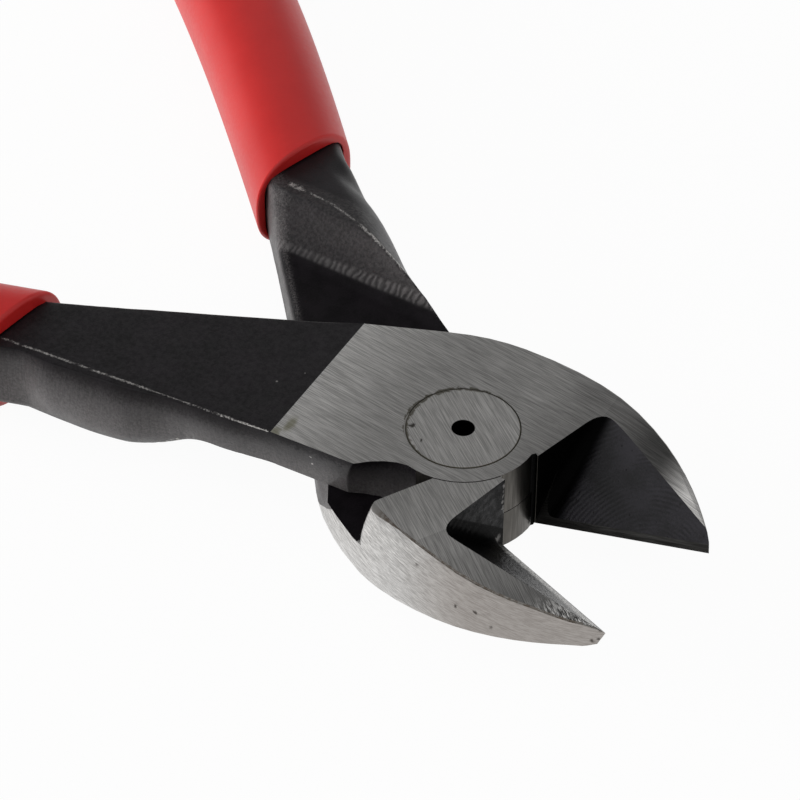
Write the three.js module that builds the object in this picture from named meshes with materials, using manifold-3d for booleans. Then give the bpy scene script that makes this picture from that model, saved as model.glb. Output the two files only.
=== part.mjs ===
// Side cutters: two forged levers lapped on one flush pin, with a red plastic grip on each handle.
// Millimetres, +Z up. The pivot axis is Z, the ground underside of the head is Z = 0, and +X runs
// from the pivot to the jaw tips along the line that halves the open mouth.
import * as THREE from 'three';
import { mergeVertices } from 'three/addons/utils/BufferGeometryUtils.js';
import Module from 'manifold-3d';

const wasm = await Module();
wasm.setup();

// Driving sizes in millimetres and degrees. A lever's own frame has the pivot at its origin, its
// cutting edge along +X, its jaw on the +Y side and its handle on the -Y side.
const HEAD_THICKNESS = 11;
const OVERALL_LENGTH = 180;
const MOUTH_ANGLE = 31.6;

// Jaw seen from above.
const JAW_REACH = 27.75;
const JAW_HALF_WIDTH = 13.8;
const JAW_TIP_WIDTH = 0.7;
const JAW_TIP_SLANT = 0.35;
const JAW_TIP_ANGLE = 50;
const JAW_TIP_PULL = 6;
const JAW_SIDE_PULL = 16.5;
const JAW_BULGE = 1.2;
const JAW_UNDERCUT = 0.2;
const SHOULDER_X = 4.1;
const SHOULDER_LEAN = 8;

// Jaw seen from the side.
const TOP_TAPER_START = 12.2;
const TOP_TAPER_BLEND = 3;
const BOTTOM_TAPER_START = 4.1;
const BOTTOM_TAPER_BLEND = 1.5;
const JAW_TIP_TOP = 8;
const JAW_TIP_BOTTOM = 5;

// Cutting edge: its height at the root and at the tip, and the planes that meet in it.
const EDGE_ROOT_HEIGHT = 1.5;
const EDGE_TIP_HEIGHT = 6.7;
const EDGE_GAP = 0.05;
const HONED_WIDTH = 0.45;
const HONED_ANGLE = 60;
const BEVEL_ANGLE = 42;
const BACK_ANGLE = 48;
const THROAT_GAP = 0.65;
const THROAT_SLANT = 16.7;
const THROAT_ROUNDING = 1.7;

// Lap joint and pin.
const HUB_RADIUS = 7.85;
const HUB_GAP = 0.12;
const LAP_GAP = 0.1;
const PIN_RADIUS = 4.5;
const PIN_HEAD_RADIUS = 5.85;
const PIN_HEAD_DEPTH = 1.8;
const PIN_EYE_RADIUS = 1.18;
const PIN_EYE_DEPTH = 6;
const PIN_EYE_POINT = 0.7;
const PIN_RUNNING_GAP = 0.07;
const PIN_SEAT_GAP = 0.03;

// Forged handle between the head and the grip.
const CROWN_LENGTH = 4.2;
const HANDLE_INNER_ANGLE = 21.1;
const HEEL_X = -6.9;
const HEEL_WIDTH = 10;
const HEEL_NECK_X = -2.2;
const HEEL_NECK_PULL = 2.2;
const GROUND_END_X = -16.75;
const RAMP_FOOT_INNER_X = -42.2;
const RAMP_FOOT_INNER_Y = 0.2;
const RAMP_FOOT_ANGLE = 31;
const RAMP_ANGLE = 48;
const RAMP_ROUNDING = 3;
const RAMP_START_X = -26;
const RAMP_END_X = -34;
const HANDLE_BULGE = 0.5;
const INNER_DRAFT = 1.8;
const OUTER_DRAFT = 3;
const TANG_DRAFT = 0.8;

// Tang inside the grip.
const GRIP_START_X = -47.8;
const GRIP_START_Y = -6.8;
const GRIP_START_ANGLE = 16.5;
const GRIP_END_Y = -22;
const GRIP_END_ANGLE = -4;
const GRIP_START_PULL = 40;
const GRIP_END_PULL = 38;
const TANG_THICKNESS = 8.4;
const TANG_START_HALF_WIDTH = 3.75;
const TANG_END_HALF_WIDTH = 3;

// Plastic grip.
const GRIP_GAP = 0.3;
const GRIP_WALL = 1.65;
const GRIP_SWELL = 0.9;
const GRIP_CAP = 4;
const GRIP_CAP_TURN = 82;
const GRIP_LIP = 0.9;
const GRIP_MOUTH_SLANT = 25;
const UPPER_GRIP_SETBACK = 1.6;
const GRIP_MOUTH_FADE = 25;
const GRIP_SQUARENESS = 2.5;

// Facet counts.
const ROUND_STEPS = 48;
const HUB_ARC_STEPS = 14;
const JAW_STEPS = 14;
const CROWN_STEPS = 4;
const NECK_STEPS = 4;
const TANG_STEPS = 12;
const TANG_END_STEPS = 6;
const DRAFT_STEPS = 8;
const GRIP_SIDES = 28;
const GRIP_STEPS = 16;
const GRIP_CAP_STEPS = 5;
const GRIP_LIP_STEPS = 3;
const ROUNDING_STEPS = 6;
const BLEND_STEPS = 5;

const BARE_STEEL = { color: 0x8f8a84, roughness: 0.38, metalness: 1 };
const BLACK_STEEL = { color: 0x2a2b2e, roughness: 0.5, metalness: 0.9 };
const RED_PLASTIC = { color: 0xc3201c, roughness: 0.4, metalness: 0 };

// Corners of an outline sharper than this cosine are cut short when the outline grows.
const SHARPEST_MITRE = 0.6;

// Corners closer than this are one corner.
const SAME_CORNER = 1e-5;

// Far is longer than any lever, so that a cutting solid always reaches past what it cuts.
const FAR = 2 * OVERALL_LENGTH;
const MID_HEIGHT = HEAD_THICKNESS / 2;
const THROAT_X = HUB_RADIUS + THROAT_GAP;
const UP = new THREE.Vector3(0, 0, 1);
const DOWN = new THREE.Vector3(0, 0, -1);

const slope = (degrees) => Math.tan(THREE.MathUtils.degToRad(degrees));
const heading = (degrees) => {
  const angle = THREE.MathUtils.degToRad(degrees);
  return new THREE.Vector2(Math.cos(angle), Math.sin(angle));
};

// Closed geometry to a solid that can be cut, and back.
function solid(geometry) {
  const bare = geometry.index ? geometry.toNonIndexed() : geometry;
  bare.deleteAttribute('normal');
  bare.deleteAttribute('uv');
  const merged = mergeVertices(bare, SAME_CORNER);
  return new wasm.Manifold(new wasm.Mesh({
    numProp: 3,
    vertProperties: new Float32Array(merged.attributes.position.array),
    triVerts: new Uint32Array(merged.index.array),
  }));
}

function geometryOf(shape) {
  const mesh = shape.getMesh();
  const geometry = new THREE.BufferGeometry();
  geometry.setAttribute('position', new THREE.BufferAttribute(new Float32Array(mesh.vertProperties), 3));
  geometry.setIndex(new THREE.BufferAttribute(new Uint32Array(mesh.triVerts), 1));
  return geometry;
}

// Body of revolution about Z from a radius and height profile that starts and ends on the axis.
function turned(profile) {
  const points = profile.map(([radius, height]) => new THREE.Vector2(radius, height));
  const geometry = new THREE.LatheGeometry(points, ROUND_STEPS);
  geometry.rotateX(Math.PI / 2);
  return solid(geometry);
}

// Everything on the outer side of two planes that meet at a corner, with the corner rounded.
function wedge(corner, outwardA, outwardB, rounding) {
  const a = outwardA.clone().normalize();
  const b = outwardB.clone().normalize();
  const along = a.clone().cross(b).normalize();
  const sideA = along.clone().cross(a);
  const sideB = b.clone().cross(along);
  const ray = new THREE.Vector2(sideA.dot(sideB), sideA.dot(b));
  const start = rounding / Math.tan(Math.acos(ray.x) / 2);
  const profile = new THREE.Shape();
  profile.moveTo(ray.x * FAR, ray.y * FAR);
  profile.lineTo(ray.x * start, ray.y * start);
  if (start > 0) profile.quadraticCurveTo(0, 0, start, 0);
  profile.lineTo(FAR, 0);
  profile.lineTo((1 + ray.x) * FAR, ray.y * FAR);
  const depth = FAR;
  const curveSegments = ROUNDING_STEPS;
  const geometry = new THREE.ExtrudeGeometry(profile, { depth, curveSegments, bevelEnabled: false });
  geometry.translate(0, 0, -FAR / 2);
  geometry.applyMatrix4(new THREE.Matrix4().makeBasis(sideB, b, along).setPosition(corner));
  return solid(geometry);
}

// Solid through a stack of rings with the same number of points, closed by a flat face at each end.
function loft(rings) {
  const count = rings[0].length;
  const corners = [];
  const index = [];
  for (const ring of rings) for (const p of ring) corners.push(p.x, p.y, p.z);
  for (let k = 0; k + 1 < rings.length; k += 1) {
    for (let i = 0; i < count; i += 1) {
      const a = k * count + i;
      const b = k * count + ((i + 1) % count);
      index.push(a, b, b + count, a, b + count, a + count);
    }
  }
  const caps = (ring, flat) => THREE.ShapeUtils.triangulateShape(ring.map(flat), []);
  const first = rings[0];
  const origin = first[0];
  const axisX = first[Math.floor(count / 4)].clone().sub(origin).normalize();
  const normal = new THREE.Vector3();
  for (let i = 0; i < count; i += 1) {
    const p = first[i].clone().sub(origin);
    const q = first[(i + 1) % count].clone().sub(origin);
    normal.add(p.cross(q));
  }
  normal.normalize();
  const axisY = normal.clone().cross(axisX);
  const flat = (p) => {
    const d = p.clone().sub(origin);
    return new THREE.Vector2(d.dot(axisX), d.dot(axisY));
  };
  const last = (rings.length - 1) * count;
  for (const [a, b, c] of caps(first, flat)) index.push(a, c, b);
  for (const [a, b, c] of caps(rings[rings.length - 1], flat)) index.push(last + a, last + b, last + c);
  const geometry = new THREE.BufferGeometry();
  geometry.setAttribute('position', new THREE.BufferAttribute(new Float32Array(corners), 3));
  geometry.setIndex(index);
  return solid(geometry);
}

// Centre line of the handle, from the grip's mouth to the grip's far end.
function handleLine() {
  const start = new THREE.Vector2(GRIP_START_X, GRIP_START_Y);
  const end = new THREE.Vector2(JAW_REACH - OVERALL_LENGTH, GRIP_END_Y);
  const out = heading(180 + GRIP_START_ANGLE).multiplyScalar(GRIP_START_PULL);
  const back = heading(GRIP_END_ANGLE).multiplyScalar(GRIP_END_PULL);
  return new THREE.CubicBezierCurve(start, start.clone().add(out), end.clone().add(back), end);
}

const HANDLE = handleLine();
const TANG_SHARE = 1 - GRIP_CAP / HANDLE.getLength();

function handleFrame(share) {
  const centre = HANDLE.getPointAt(share);
  const along = HANDLE.getTangentAt(share);
  return { centre, along, inward: new THREE.Vector2(along.y, -along.x) };
}

const tangHalfWidth = (share) => THREE.MathUtils.lerp(TANG_START_HALF_WIDTH, TANG_END_HALF_WIDTH, share);

// Points of one lever's outline, anticlockwise. Each side may bulge at half height and may lose some
// width at the underside (low) or at the top (high). The forged handle is widest at the flat face that
// the lever keeps at the lap joint, and leans in towards the other face.
function leverOutline(keep) {
  const outline = [];
  const add = (p, bulge, low, high) => outline.push({ x: p.x, y: p.y, bulge, low, high });
  const addPlain = (x, y) => add({ x, y }, 0, 0, 0);
  const addForged = (p, draft) => add(p, HANDLE_BULGE, keep === UP ? draft : 0, keep === UP ? 0 : draft);
  const addGround = (p, share) => add(p, JAW_BULGE * share, JAW_UNDERCUT * share, 0);

  // Outer side of the jaw, from the blunt tip to the crown of the head.
  const tip = new THREE.Vector2(JAW_REACH - JAW_TIP_SLANT, JAW_TIP_WIDTH);
  const tipPull = heading(180 - JAW_TIP_ANGLE).multiplyScalar(JAW_TIP_PULL).add(tip);
  const crown = new THREE.Vector2(0, JAW_HALF_WIDTH);
  const sidePull = new THREE.Vector2(JAW_SIDE_PULL, JAW_HALF_WIDTH);
  const side = new THREE.CubicBezierCurve(tip, tipPull, sidePull, crown);
  for (let i = 0; i < JAW_STEPS; i += 1) addGround(side.getPoint(i / JAW_STEPS), i / JAW_STEPS);

  // Crown, rounding into the straight inner side of the handle.
  const inner = heading(180 + HANDLE_INNER_ANGLE);
  const corner = new THREE.Vector2(-CROWN_LENGTH, JAW_HALF_WIDTH);
  const leave = corner.clone().addScaledVector(inner, CROWN_LENGTH);
  const round = new THREE.QuadraticBezierCurve(crown, corner, leave);
  for (const p of round.getPoints(CROWN_STEPS)) addGround(p, 1);
  addForged(leave.addScaledVector(inner, (leave.x - GROUND_END_X) / -inner.x), INNER_DRAFT);

  // Tang: inner side, round end, outer side.
  const edge = (share, side) => {
    const { centre, inward } = handleFrame(share);
    return centre.addScaledVector(inward, side * tangHalfWidth(share));
  };
  const tangStart = edge(0, -1);
  addForged(edge(0, 1), TANG_DRAFT);
  for (let i = 1; i < TANG_STEPS; i += 1) addForged(edge((i / TANG_STEPS) * TANG_SHARE, 1), 0);
  const end = handleFrame(TANG_SHARE);
  const endRadius = tangHalfWidth(TANG_SHARE);
  for (let i = 0; i <= TANG_END_STEPS; i += 1) {
    const turn = (Math.PI * i) / TANG_END_STEPS;
    const p = end.centre.clone();
    p.addScaledVector(end.inward, endRadius * Math.cos(turn));
    p.addScaledVector(end.along, endRadius * (Math.sin(turn) - 1));
    addForged(p, 0);
  }
  for (let i = TANG_STEPS - 1; i > 0; i -= 1) addForged(edge((i / TANG_STEPS) * TANG_SHARE, -1), 0);
  addForged(tangStart, TANG_DRAFT);

  // Outer side of the handle, its heel, the neck behind the hub, then the hub itself.
  const heel = new THREE.Vector2(HEEL_X, -HEEL_WIDTH);
  const outerSide = (x) => tangStart.clone().lerp(heel, (x - tangStart.x) / (heel.x - tangStart.x));
  addForged(outerSide(RAMP_END_X), TANG_DRAFT);
  addForged(outerSide(RAMP_START_X), OUTER_DRAFT);
  addForged(heel, OUTER_DRAFT);
  const neckAngle = Math.PI + Math.acos(-HEEL_NECK_X / HUB_RADIUS);
  const hubPoint = (turn) => new THREE.Vector2(HUB_RADIUS * Math.cos(turn), HUB_RADIUS * Math.sin(turn));
  const neck = hubPoint(neckAngle);
  const neckPull = new THREE.Vector2(neck.x - HEEL_NECK_PULL, neck.y);
  const neckCurve = new THREE.QuadraticBezierCurve(heel, neckPull, neck);
  for (let i = 1; i < NECK_STEPS; i += 1) {
    const share = i / NECK_STEPS;
    addForged(neckCurve.getPoint(share), OUTER_DRAFT * (1 - share));
  }
  for (let i = 0; i <= HUB_ARC_STEPS; i += 1) {
    const p = hubPoint(THREE.MathUtils.lerp(neckAngle, 2 * Math.PI, i / HUB_ARC_STEPS));
    addPlain(p.x, p.y);
  }

  // Small relief at the root of the cutting edge, then the edge out to the tip.
  addPlain(HUB_RADIUS + THROAT_GAP / 2, THROAT_GAP / 2);
  addPlain(THROAT_X, EDGE_GAP);
  addPlain(JAW_REACH, EDGE_GAP);
  return outline;
}

// Lever outline as a solid with shaped sides, grown by extra on every side.
function forging(keep, extra) {
  const outline = leverOutline(keep);
  const count = outline.length;
  const outward = outline.map((p, i) => {
    const before = outline[(i + count - 1) % count];
    const after = outline[(i + 1) % count];
    const into = new THREE.Vector2(p.y - before.y, before.x - p.x).normalize();
    const away = new THREE.Vector2(after.y - p.y, p.x - after.x).normalize();
    const mean = into.clone().add(away).normalize();
    return mean.divideScalar(Math.max(mean.dot(into), SHARPEST_MITRE));
  });
  const rings = [];
  for (let k = 0; k <= DRAFT_STEPS; k += 1) {
    const level = (2 * k) / DRAFT_STEPS - 1;
    const height = MID_HEIGHT + level * (MID_HEIGHT + extra);
    rings.push(outline.map((p, i) => {
      const bulge = p.bulge * (1 - level * level);
      const grow = extra + bulge - (p.low * (1 - level) + p.high * (1 + level)) / 2;
      return new THREE.Vector3(p.x + outward[i].x * grow, p.y + outward[i].y * grow, height);
    }));
  }
  return loft(rings).intersect(sideProfile(extra));
}

// Side view of the lever: thin at the tip, flat and ground at the head, thinner again at the tang.
function sideProfile(extra) {
  const front = JAW_REACH + JAW_TIP_WIDTH;
  const back = -OVERALL_LENGTH;
  const low = -extra;
  const high = HEAD_THICKNESS + extra;
  const tangLow = MID_HEIGHT - TANG_THICKNESS / 2 - extra;
  const tangHigh = MID_HEIGHT + TANG_THICKNESS / 2 + extra;
  const topFall = (HEAD_THICKNESS - JAW_TIP_TOP) / (JAW_REACH - TOP_TAPER_START);
  const bottomRise = JAW_TIP_BOTTOM / (JAW_REACH - BOTTOM_TAPER_START);
  const profile = new THREE.Shape();
  profile.moveTo(back, tangLow);
  profile.lineTo(GRIP_START_X, tangLow);
  profile.lineTo(GROUND_END_X, low);
  profile.lineTo(BOTTOM_TAPER_START - BOTTOM_TAPER_BLEND, low);
  profile.quadraticCurveTo(
    BOTTOM_TAPER_START, low,
    BOTTOM_TAPER_START + BOTTOM_TAPER_BLEND, low + bottomRise * BOTTOM_TAPER_BLEND,
  );
  profile.lineTo(front, low + bottomRise * (front - BOTTOM_TAPER_START));
  profile.lineTo(front, high - topFall * (front - TOP_TAPER_START));
  profile.lineTo(TOP_TAPER_START + TOP_TAPER_BLEND, high - topFall * TOP_TAPER_BLEND);
  profile.quadraticCurveTo(TOP_TAPER_START, high, TOP_TAPER_START - TOP_TAPER_BLEND, high);
  profile.lineTo(GROUND_END_X, high);
  profile.lineTo(GRIP_START_X, tangHigh);
  profile.lineTo(back, tangHigh);
  const depth = FAR;
  const curveSegments = BLEND_STEPS;
  const geometry = new THREE.ExtrudeGeometry(profile, { depth, curveSegments, bevelEnabled: false });
  geometry.rotateX(Math.PI / 2);
  geometry.translate(0, FAR / 2, 0);
  return solid(geometry);
}

// Space for the other lever: half of the thickness behind the shoulder and round the other hub,
// ending in a ramp where the handle regains its full thickness.
function lapSpace(out) {
  const face = MID_HEIGHT - (out.z * LAP_GAP) / 2;
  const foot = new THREE.Vector3(RAMP_FOOT_INNER_X, RAMP_FOOT_INNER_Y, face);
  const toJoint = heading(90 - RAMP_FOOT_ANGLE);
  const lean = heading(RAMP_ANGLE);
  const rampOut = new THREE.Vector3(toJoint.x * lean.y, toJoint.y * lean.y, out.z * lean.x);
  const shoulder = new THREE.Vector3(SHOULDER_X, 0, face);
  const shoulderOut = new THREE.Vector3(-1, 0, out.z * slope(SHOULDER_LEAN));
  const top = face + out.z * HEAD_THICKNESS;
  const radius = HUB_RADIUS + HUB_GAP;
  const heights = [Math.min(face, top), Math.max(face, top)];
  const round = turned([[0, heights[0]], [radius, heights[0]], [radius, heights[1]], [0, heights[1]]]);
  return wedge(foot, out, rampOut, RAMP_ROUNDING).intersect(wedge(shoulder, out, shoulderOut, 0)).add(round);
}

// Planes ground into the jaw: the hollow above the edge, the honed strip and the back of the edge.
function grindJaw(lever) {
  const root = new THREE.Vector3(THROAT_X, EDGE_GAP, EDGE_ROOT_HEIGHT);
  const climb = (EDGE_TIP_HEIGHT - EDGE_ROOT_HEIGHT) / (JAW_REACH - THROAT_X);
  const wallOut = new THREE.Vector3(1, -slope(THROAT_SLANT), 0);
  const bevelOut = new THREE.Vector3(-climb, -slope(BEVEL_ANGLE), 1);
  const honedOut = new THREE.Vector3(-climb, -slope(HONED_ANGLE), 1);
  const honedHeight = HONED_WIDTH * (slope(HONED_ANGLE) - slope(BEVEL_ANGLE));
  const bevelRoot = root.clone().add(new THREE.Vector3(0, 0, honedHeight));
  const backOut = new THREE.Vector3(climb * slope(BACK_ANGLE), -1, -slope(BACK_ANGLE));
  const relief = root.clone().setX(HUB_RADIUS + THROAT_GAP / 2);
  relief.z -= (climb * THROAT_GAP) / 2;
  return lever
    .subtract(wedge(bevelRoot, wallOut, bevelOut, THROAT_ROUNDING))
    .subtract(wedge(root, wallOut, honedOut, 0))
    .subtract(wedge(relief, new THREE.Vector3(1, 0, 0), backOut, 0));
}

// Countersunk hole for the pin, wider than the pin by a gap and open at the face that out points to.
function pinHole(gap, out) {
  const shaft = PIN_RADIUS + gap;
  const head = PIN_HEAD_RADIUS + gap;
  const flare = (head - shaft) / PIN_HEAD_DEPTH;
  const beyond = HEAD_THICKNESS;
  const heights = [-beyond, MID_HEIGHT - PIN_HEAD_DEPTH, MID_HEIGHT + beyond];
  const radii = [shaft, shaft, shaft + flare * (PIN_HEAD_DEPTH + beyond)];
  const profile = heights.map((height, i) => [radii[i], MID_HEIGHT + out.z * height]);
  profile.unshift([0, profile[0][1]]);
  profile.push([0, profile[3][1]]);
  return turned(out.z > 0 ? profile : profile.reverse());
}

// One lever in its own frame. Keep is the side of the lap joint, up or down, that it holds.
function leverSolid(keep, holeGap) {
  const space = lapSpace(keep === UP ? DOWN : UP);
  return grindJaw(forging(keep, 0).subtract(space)).subtract(pinHole(holeGap, keep));
}

function pinSolid() {
  const eyeFloor = HEAD_THICKNESS - PIN_EYE_DEPTH;
  return turned([
    [0, 0],
    [PIN_HEAD_RADIUS, 0],
    [PIN_RADIUS, PIN_HEAD_DEPTH],
    [PIN_RADIUS, HEAD_THICKNESS - PIN_HEAD_DEPTH],
    [PIN_HEAD_RADIUS, HEAD_THICKNESS],
    [PIN_EYE_RADIUS, HEAD_THICKNESS],
    [PIN_EYE_RADIUS, eyeFloor],
    [0, eyeFloor - PIN_EYE_POINT],
  ]);
}

// Grip: a soft oval sleeve along the handle with a round lip and a round end, hollow for the tang.
// The setback is how much further from the head its mouth begins.
function gripSolid(keep, setback) {
  const length = HANDLE.getLength();
  const mouth = setback / length;
  const halfHeight = TANG_THICKNESS / 2 + GRIP_GAP + GRIP_WALL;
  const ring = (share, inset) => {
    const { centre, along, inward } = handleFrame(share);
    const slant = slope(GRIP_MOUTH_SLANT) * Math.max(1 - ((share - mouth) * length) / GRIP_MOUTH_FADE, 0);
    const swell = GRIP_SWELL * Math.sin(Math.PI * share);
    const a = tangHalfWidth(share) + HANDLE_BULGE + GRIP_GAP + GRIP_WALL + swell - inset;
    const b = halfHeight + swell / 2 - inset;
    const points = [];
    for (let i = 0; i < GRIP_SIDES; i += 1) {
      const turn = (2 * Math.PI * i) / GRIP_SIDES;
      const c = Math.cos(turn);
      const s = Math.sin(turn);
      const u = a * Math.sign(c) * Math.abs(c) ** (2 / GRIP_SQUARENESS);
      const v = b * Math.sign(s) * Math.abs(s) ** (2 / GRIP_SQUARENESS);
      const plan = centre.clone().addScaledVector(inward, u).addScaledVector(along, -u * slant);
      points.push(new THREE.Vector3(plan.x, plan.y, MID_HEIGHT - v));
    }
    return points;
  };
  const rings = [];
  for (let i = 0; i < GRIP_LIP_STEPS; i += 1) {
    const turn = (Math.PI / 2) * (i / GRIP_LIP_STEPS);
    const share = mouth + (GRIP_LIP * (1 - Math.cos(turn))) / length;
    rings.push(ring(share, GRIP_LIP * (1 - Math.sin(turn))));
  }
  const bodyStart = mouth + GRIP_LIP / length;
  const capLength = halfHeight;
  const bodyEnd = 1 - capLength / length;
  for (let i = 0; i < GRIP_STEPS; i += 1) {
    rings.push(ring(THREE.MathUtils.lerp(bodyStart, bodyEnd, i / GRIP_STEPS), 0));
  }
  for (let i = 0; i <= GRIP_CAP_STEPS; i += 1) {
    const turn = THREE.MathUtils.degToRad((GRIP_CAP_TURN * i) / GRIP_CAP_STEPS);
    const share = bodyEnd + (1 - bodyEnd) * Math.sin(turn);
    rings.push(ring(share, capLength * (1 - Math.cos(turn))));
  }
  return loft(rings).subtract(forging(keep, GRIP_GAP));
}

// A mesh from a lever-frame solid; mirror turns the +Y jaw into the -Y jaw of the other lever.
function piece(name, shape, look, mirror) {
  const geometry = geometryOf(shape);
  if (mirror) {
    geometry.scale(1, -1, 1);
    const order = geometry.index.array;
    for (let i = 0; i < order.length; i += 3) [order[i], order[i + 1]] = [order[i + 1], order[i]];
  }
  const mesh = new THREE.Mesh(geometry, new THREE.MeshStandardMaterial(look));
  mesh.name = name;
  return mesh;
}

const upper = new THREE.Group();
upper.add(piece('upper_lever', leverSolid(UP, PIN_RUNNING_GAP), BLACK_STEEL, false));
upper.add(piece('upper_grip', gripSolid(UP, UPPER_GRIP_SETBACK), RED_PLASTIC, false));
upper.rotation.z = THREE.MathUtils.degToRad(MOUTH_ANGLE / 2);

const lower = new THREE.Group();
lower.add(piece('lower_lever', leverSolid(DOWN, PIN_SEAT_GAP), BLACK_STEEL, true));
lower.add(piece('lower_grip', gripSolid(DOWN, 0), RED_PLASTIC, true));
lower.rotation.z = -upper.rotation.z;

const cutters = new THREE.Group();
cutters.add(upper, lower, piece('pivot_pin', pinSolid(), BARE_STEEL, false));

export default cutters;
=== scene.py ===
import math
from functools import partial
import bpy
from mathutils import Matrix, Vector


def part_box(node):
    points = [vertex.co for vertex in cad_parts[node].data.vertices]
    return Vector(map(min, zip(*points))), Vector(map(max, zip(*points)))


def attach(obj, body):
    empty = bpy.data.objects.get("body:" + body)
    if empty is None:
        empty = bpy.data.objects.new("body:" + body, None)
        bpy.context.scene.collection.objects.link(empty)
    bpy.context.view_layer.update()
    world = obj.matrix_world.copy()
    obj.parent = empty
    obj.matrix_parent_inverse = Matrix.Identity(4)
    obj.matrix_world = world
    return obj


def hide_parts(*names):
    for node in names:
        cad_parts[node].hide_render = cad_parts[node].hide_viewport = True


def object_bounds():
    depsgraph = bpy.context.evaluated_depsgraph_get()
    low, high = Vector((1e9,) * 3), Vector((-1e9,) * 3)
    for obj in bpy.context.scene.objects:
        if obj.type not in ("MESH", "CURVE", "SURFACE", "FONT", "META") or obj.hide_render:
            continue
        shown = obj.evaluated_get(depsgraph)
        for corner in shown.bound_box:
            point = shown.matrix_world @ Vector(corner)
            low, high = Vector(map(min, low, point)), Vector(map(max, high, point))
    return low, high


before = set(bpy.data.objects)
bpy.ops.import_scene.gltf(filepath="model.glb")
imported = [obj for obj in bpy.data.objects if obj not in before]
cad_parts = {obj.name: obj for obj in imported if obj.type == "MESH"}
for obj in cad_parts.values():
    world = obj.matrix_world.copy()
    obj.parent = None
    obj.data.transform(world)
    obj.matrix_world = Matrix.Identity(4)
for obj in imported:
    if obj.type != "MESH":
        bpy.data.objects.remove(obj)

from types import SimpleNamespace

import bmesh
import bpy
from mathutils import Matrix, Vector, noise

CAD_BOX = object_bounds()

# Sizes are in millimetres and degrees, and the meshes are made in metres.
MM = 0.001

# A lever's own frame has the pivot at its origin, its cutting edge along +X, its jaw on +Y and its handle
# on -Y. At rest each lever stands turned by half of the open mouth, one way or the other.
HALF_MOUTH = math.radians(31.6 / 2)
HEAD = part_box("pivot_pin")[1].z / MM
MID = HEAD / 2
PIN_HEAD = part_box("pivot_pin")[1].x / MM

# Jaw: the planes ground into it.
HUB = 7.85
EDGE_CLIMB = 0.27
HONED_ANGLE = 60
HEEL = (-7.7, -9.6)
HEEL_ROUNDING = 0.15
HORN = (4.5, 14.1)
HORN_ROUNDING = 0.8
HORN_FLAT = Vector((5.0, 13.1, HEAD))
HORN_FLAT_FACING = Vector((0.064, 0.653, 0.755))
RELIEF_EDGE = (8.55, 0.3)
JAW_EDGE_ROUNDINGS = {1: 0.13, -1: 0.17}
FINE_ROUNDING = 0.05

# The notch at the heel is cut with a round cutter: where it lies, how far back the cutter went, at which
# height over the middle it went farthest, and how high its hollow is to each side of that.
HEEL_NOTCH_X = (-7.5, -2.0)
HEEL_NOTCH_Y = -7.2
HEEL_FULL_X = -6.5
HEEL_REACH = 1.1
HEEL_DEEPEST = 1.6
HEEL_HOLLOW = 4.3

# What sets the lower jaw apart from the upper one: a fuller back that draws in towards its lap, a tip that
# drops to a corner and is deeper below, and a flat worn on its horn.
BACK_X = (-9, 14)
BACK_Y = 10
BACK_FULLNESS = 0.45
BACK_DRAW_IN = 0.25
TAPER_END = Vector((26.69, 1.62, 8.2))
TIP_CORNER = Vector((27.4, 0.7, 7.56))
TIP_FACE_X = (22.5, 26.5)
TIP_FACE_Z = 7.0
TIP_FACE_DROP = 0.5
TIP_POINT_X = (26.9, 27.6)
TIP_POINT_LIFT = 0.25
TIP_UNDER_X = (26.3, 27.4)
TIP_UNDER_Z = 6.3
TIP_UNDER_DROP = 0.85
HORN_REGION = Vector((3, 11.5, 9))

# Where the grinding of the jaw's side runs out on the half that laps under the other lever.
GRINDING_END = (-0.9, 14.6)
GRINDING_END_TILT = 1.36

# Handle behind the ground faces.
GROUND_END = -16.75
LAP_FLOOR = MID + 0.05
RAMP_FOOT_ROUNDING = 1.3
RIM_ROUNDING = 0.3
INNER_BULGE = 0.5
INNER_DRAFT = 1.8
OUTER_DRAFT = 3.0
TANG_DRAFT = 0.8
GROUND_EDGE_ROUNDING = 0.25
LAP_EDGE_ROUNDING = 0.35
INNER_LAP_ROUNDING = 1.1
FORGING_WAVES = 0.05
FORGING_SEED = 7
noise.seed_set(FORGING_SEED)

# The two forgings are not quite alike: the place and angle of the ramp's foot, the slope of the ramp, the
# crest it runs out in, how much fuller the tang is on its inner and its outer side, and by places along X
# where the slope of the outer side ends, how full that side gets, how the round of its lap edge runs out, and
# how near to the grip the full side goes, with the belly under one of them.
OUTER_SIDES = {
    1: {
        "foot": (-42.2, 0.2),
        "foot_angle": 33,
        "ramp_angle": 48,
        "crest": ((-44.9, -2.9, 1.2), (-43.6, -3.6, 1.15), (-39.3, -6.4, 0.95)),
        "fullness": {1: -0.2, -1: 0.6},
        "slope": (-26.0, -34.0),
        "bulge": 1.1,
        "swell": (-16.8, -23.0),
        "round": (4.0, 1.0),
        "taper": (-30.0, -40.0),
        "run_out": 4.0,
        "belly": ((-28.5, -35.0), (0.0, 0.9)),
    },
    -1: {
        "foot": (-40.3, 0.2),
        "foot_angle": 26.7,
        "ramp_angle": 45,
        "crest": ((-44.73, -3.64, 1.2), (-43.66, -4.09, 1.2), (-39.22, -5.90, 1.1)),
        "fullness": {1: 0.7, -1: 0.8},
        "slope": (-27.0, -39.0),
        "bulge": 0.9,
        "swell": (-24.0, -34.0),
        "round": (4.9, 1.4),
        "taper": (-40.0, -46.0),
        "run_out": 9.0,
        "belly": ((-28.5, -35.0), (0.0, 0.0)),
    },
}

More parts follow.
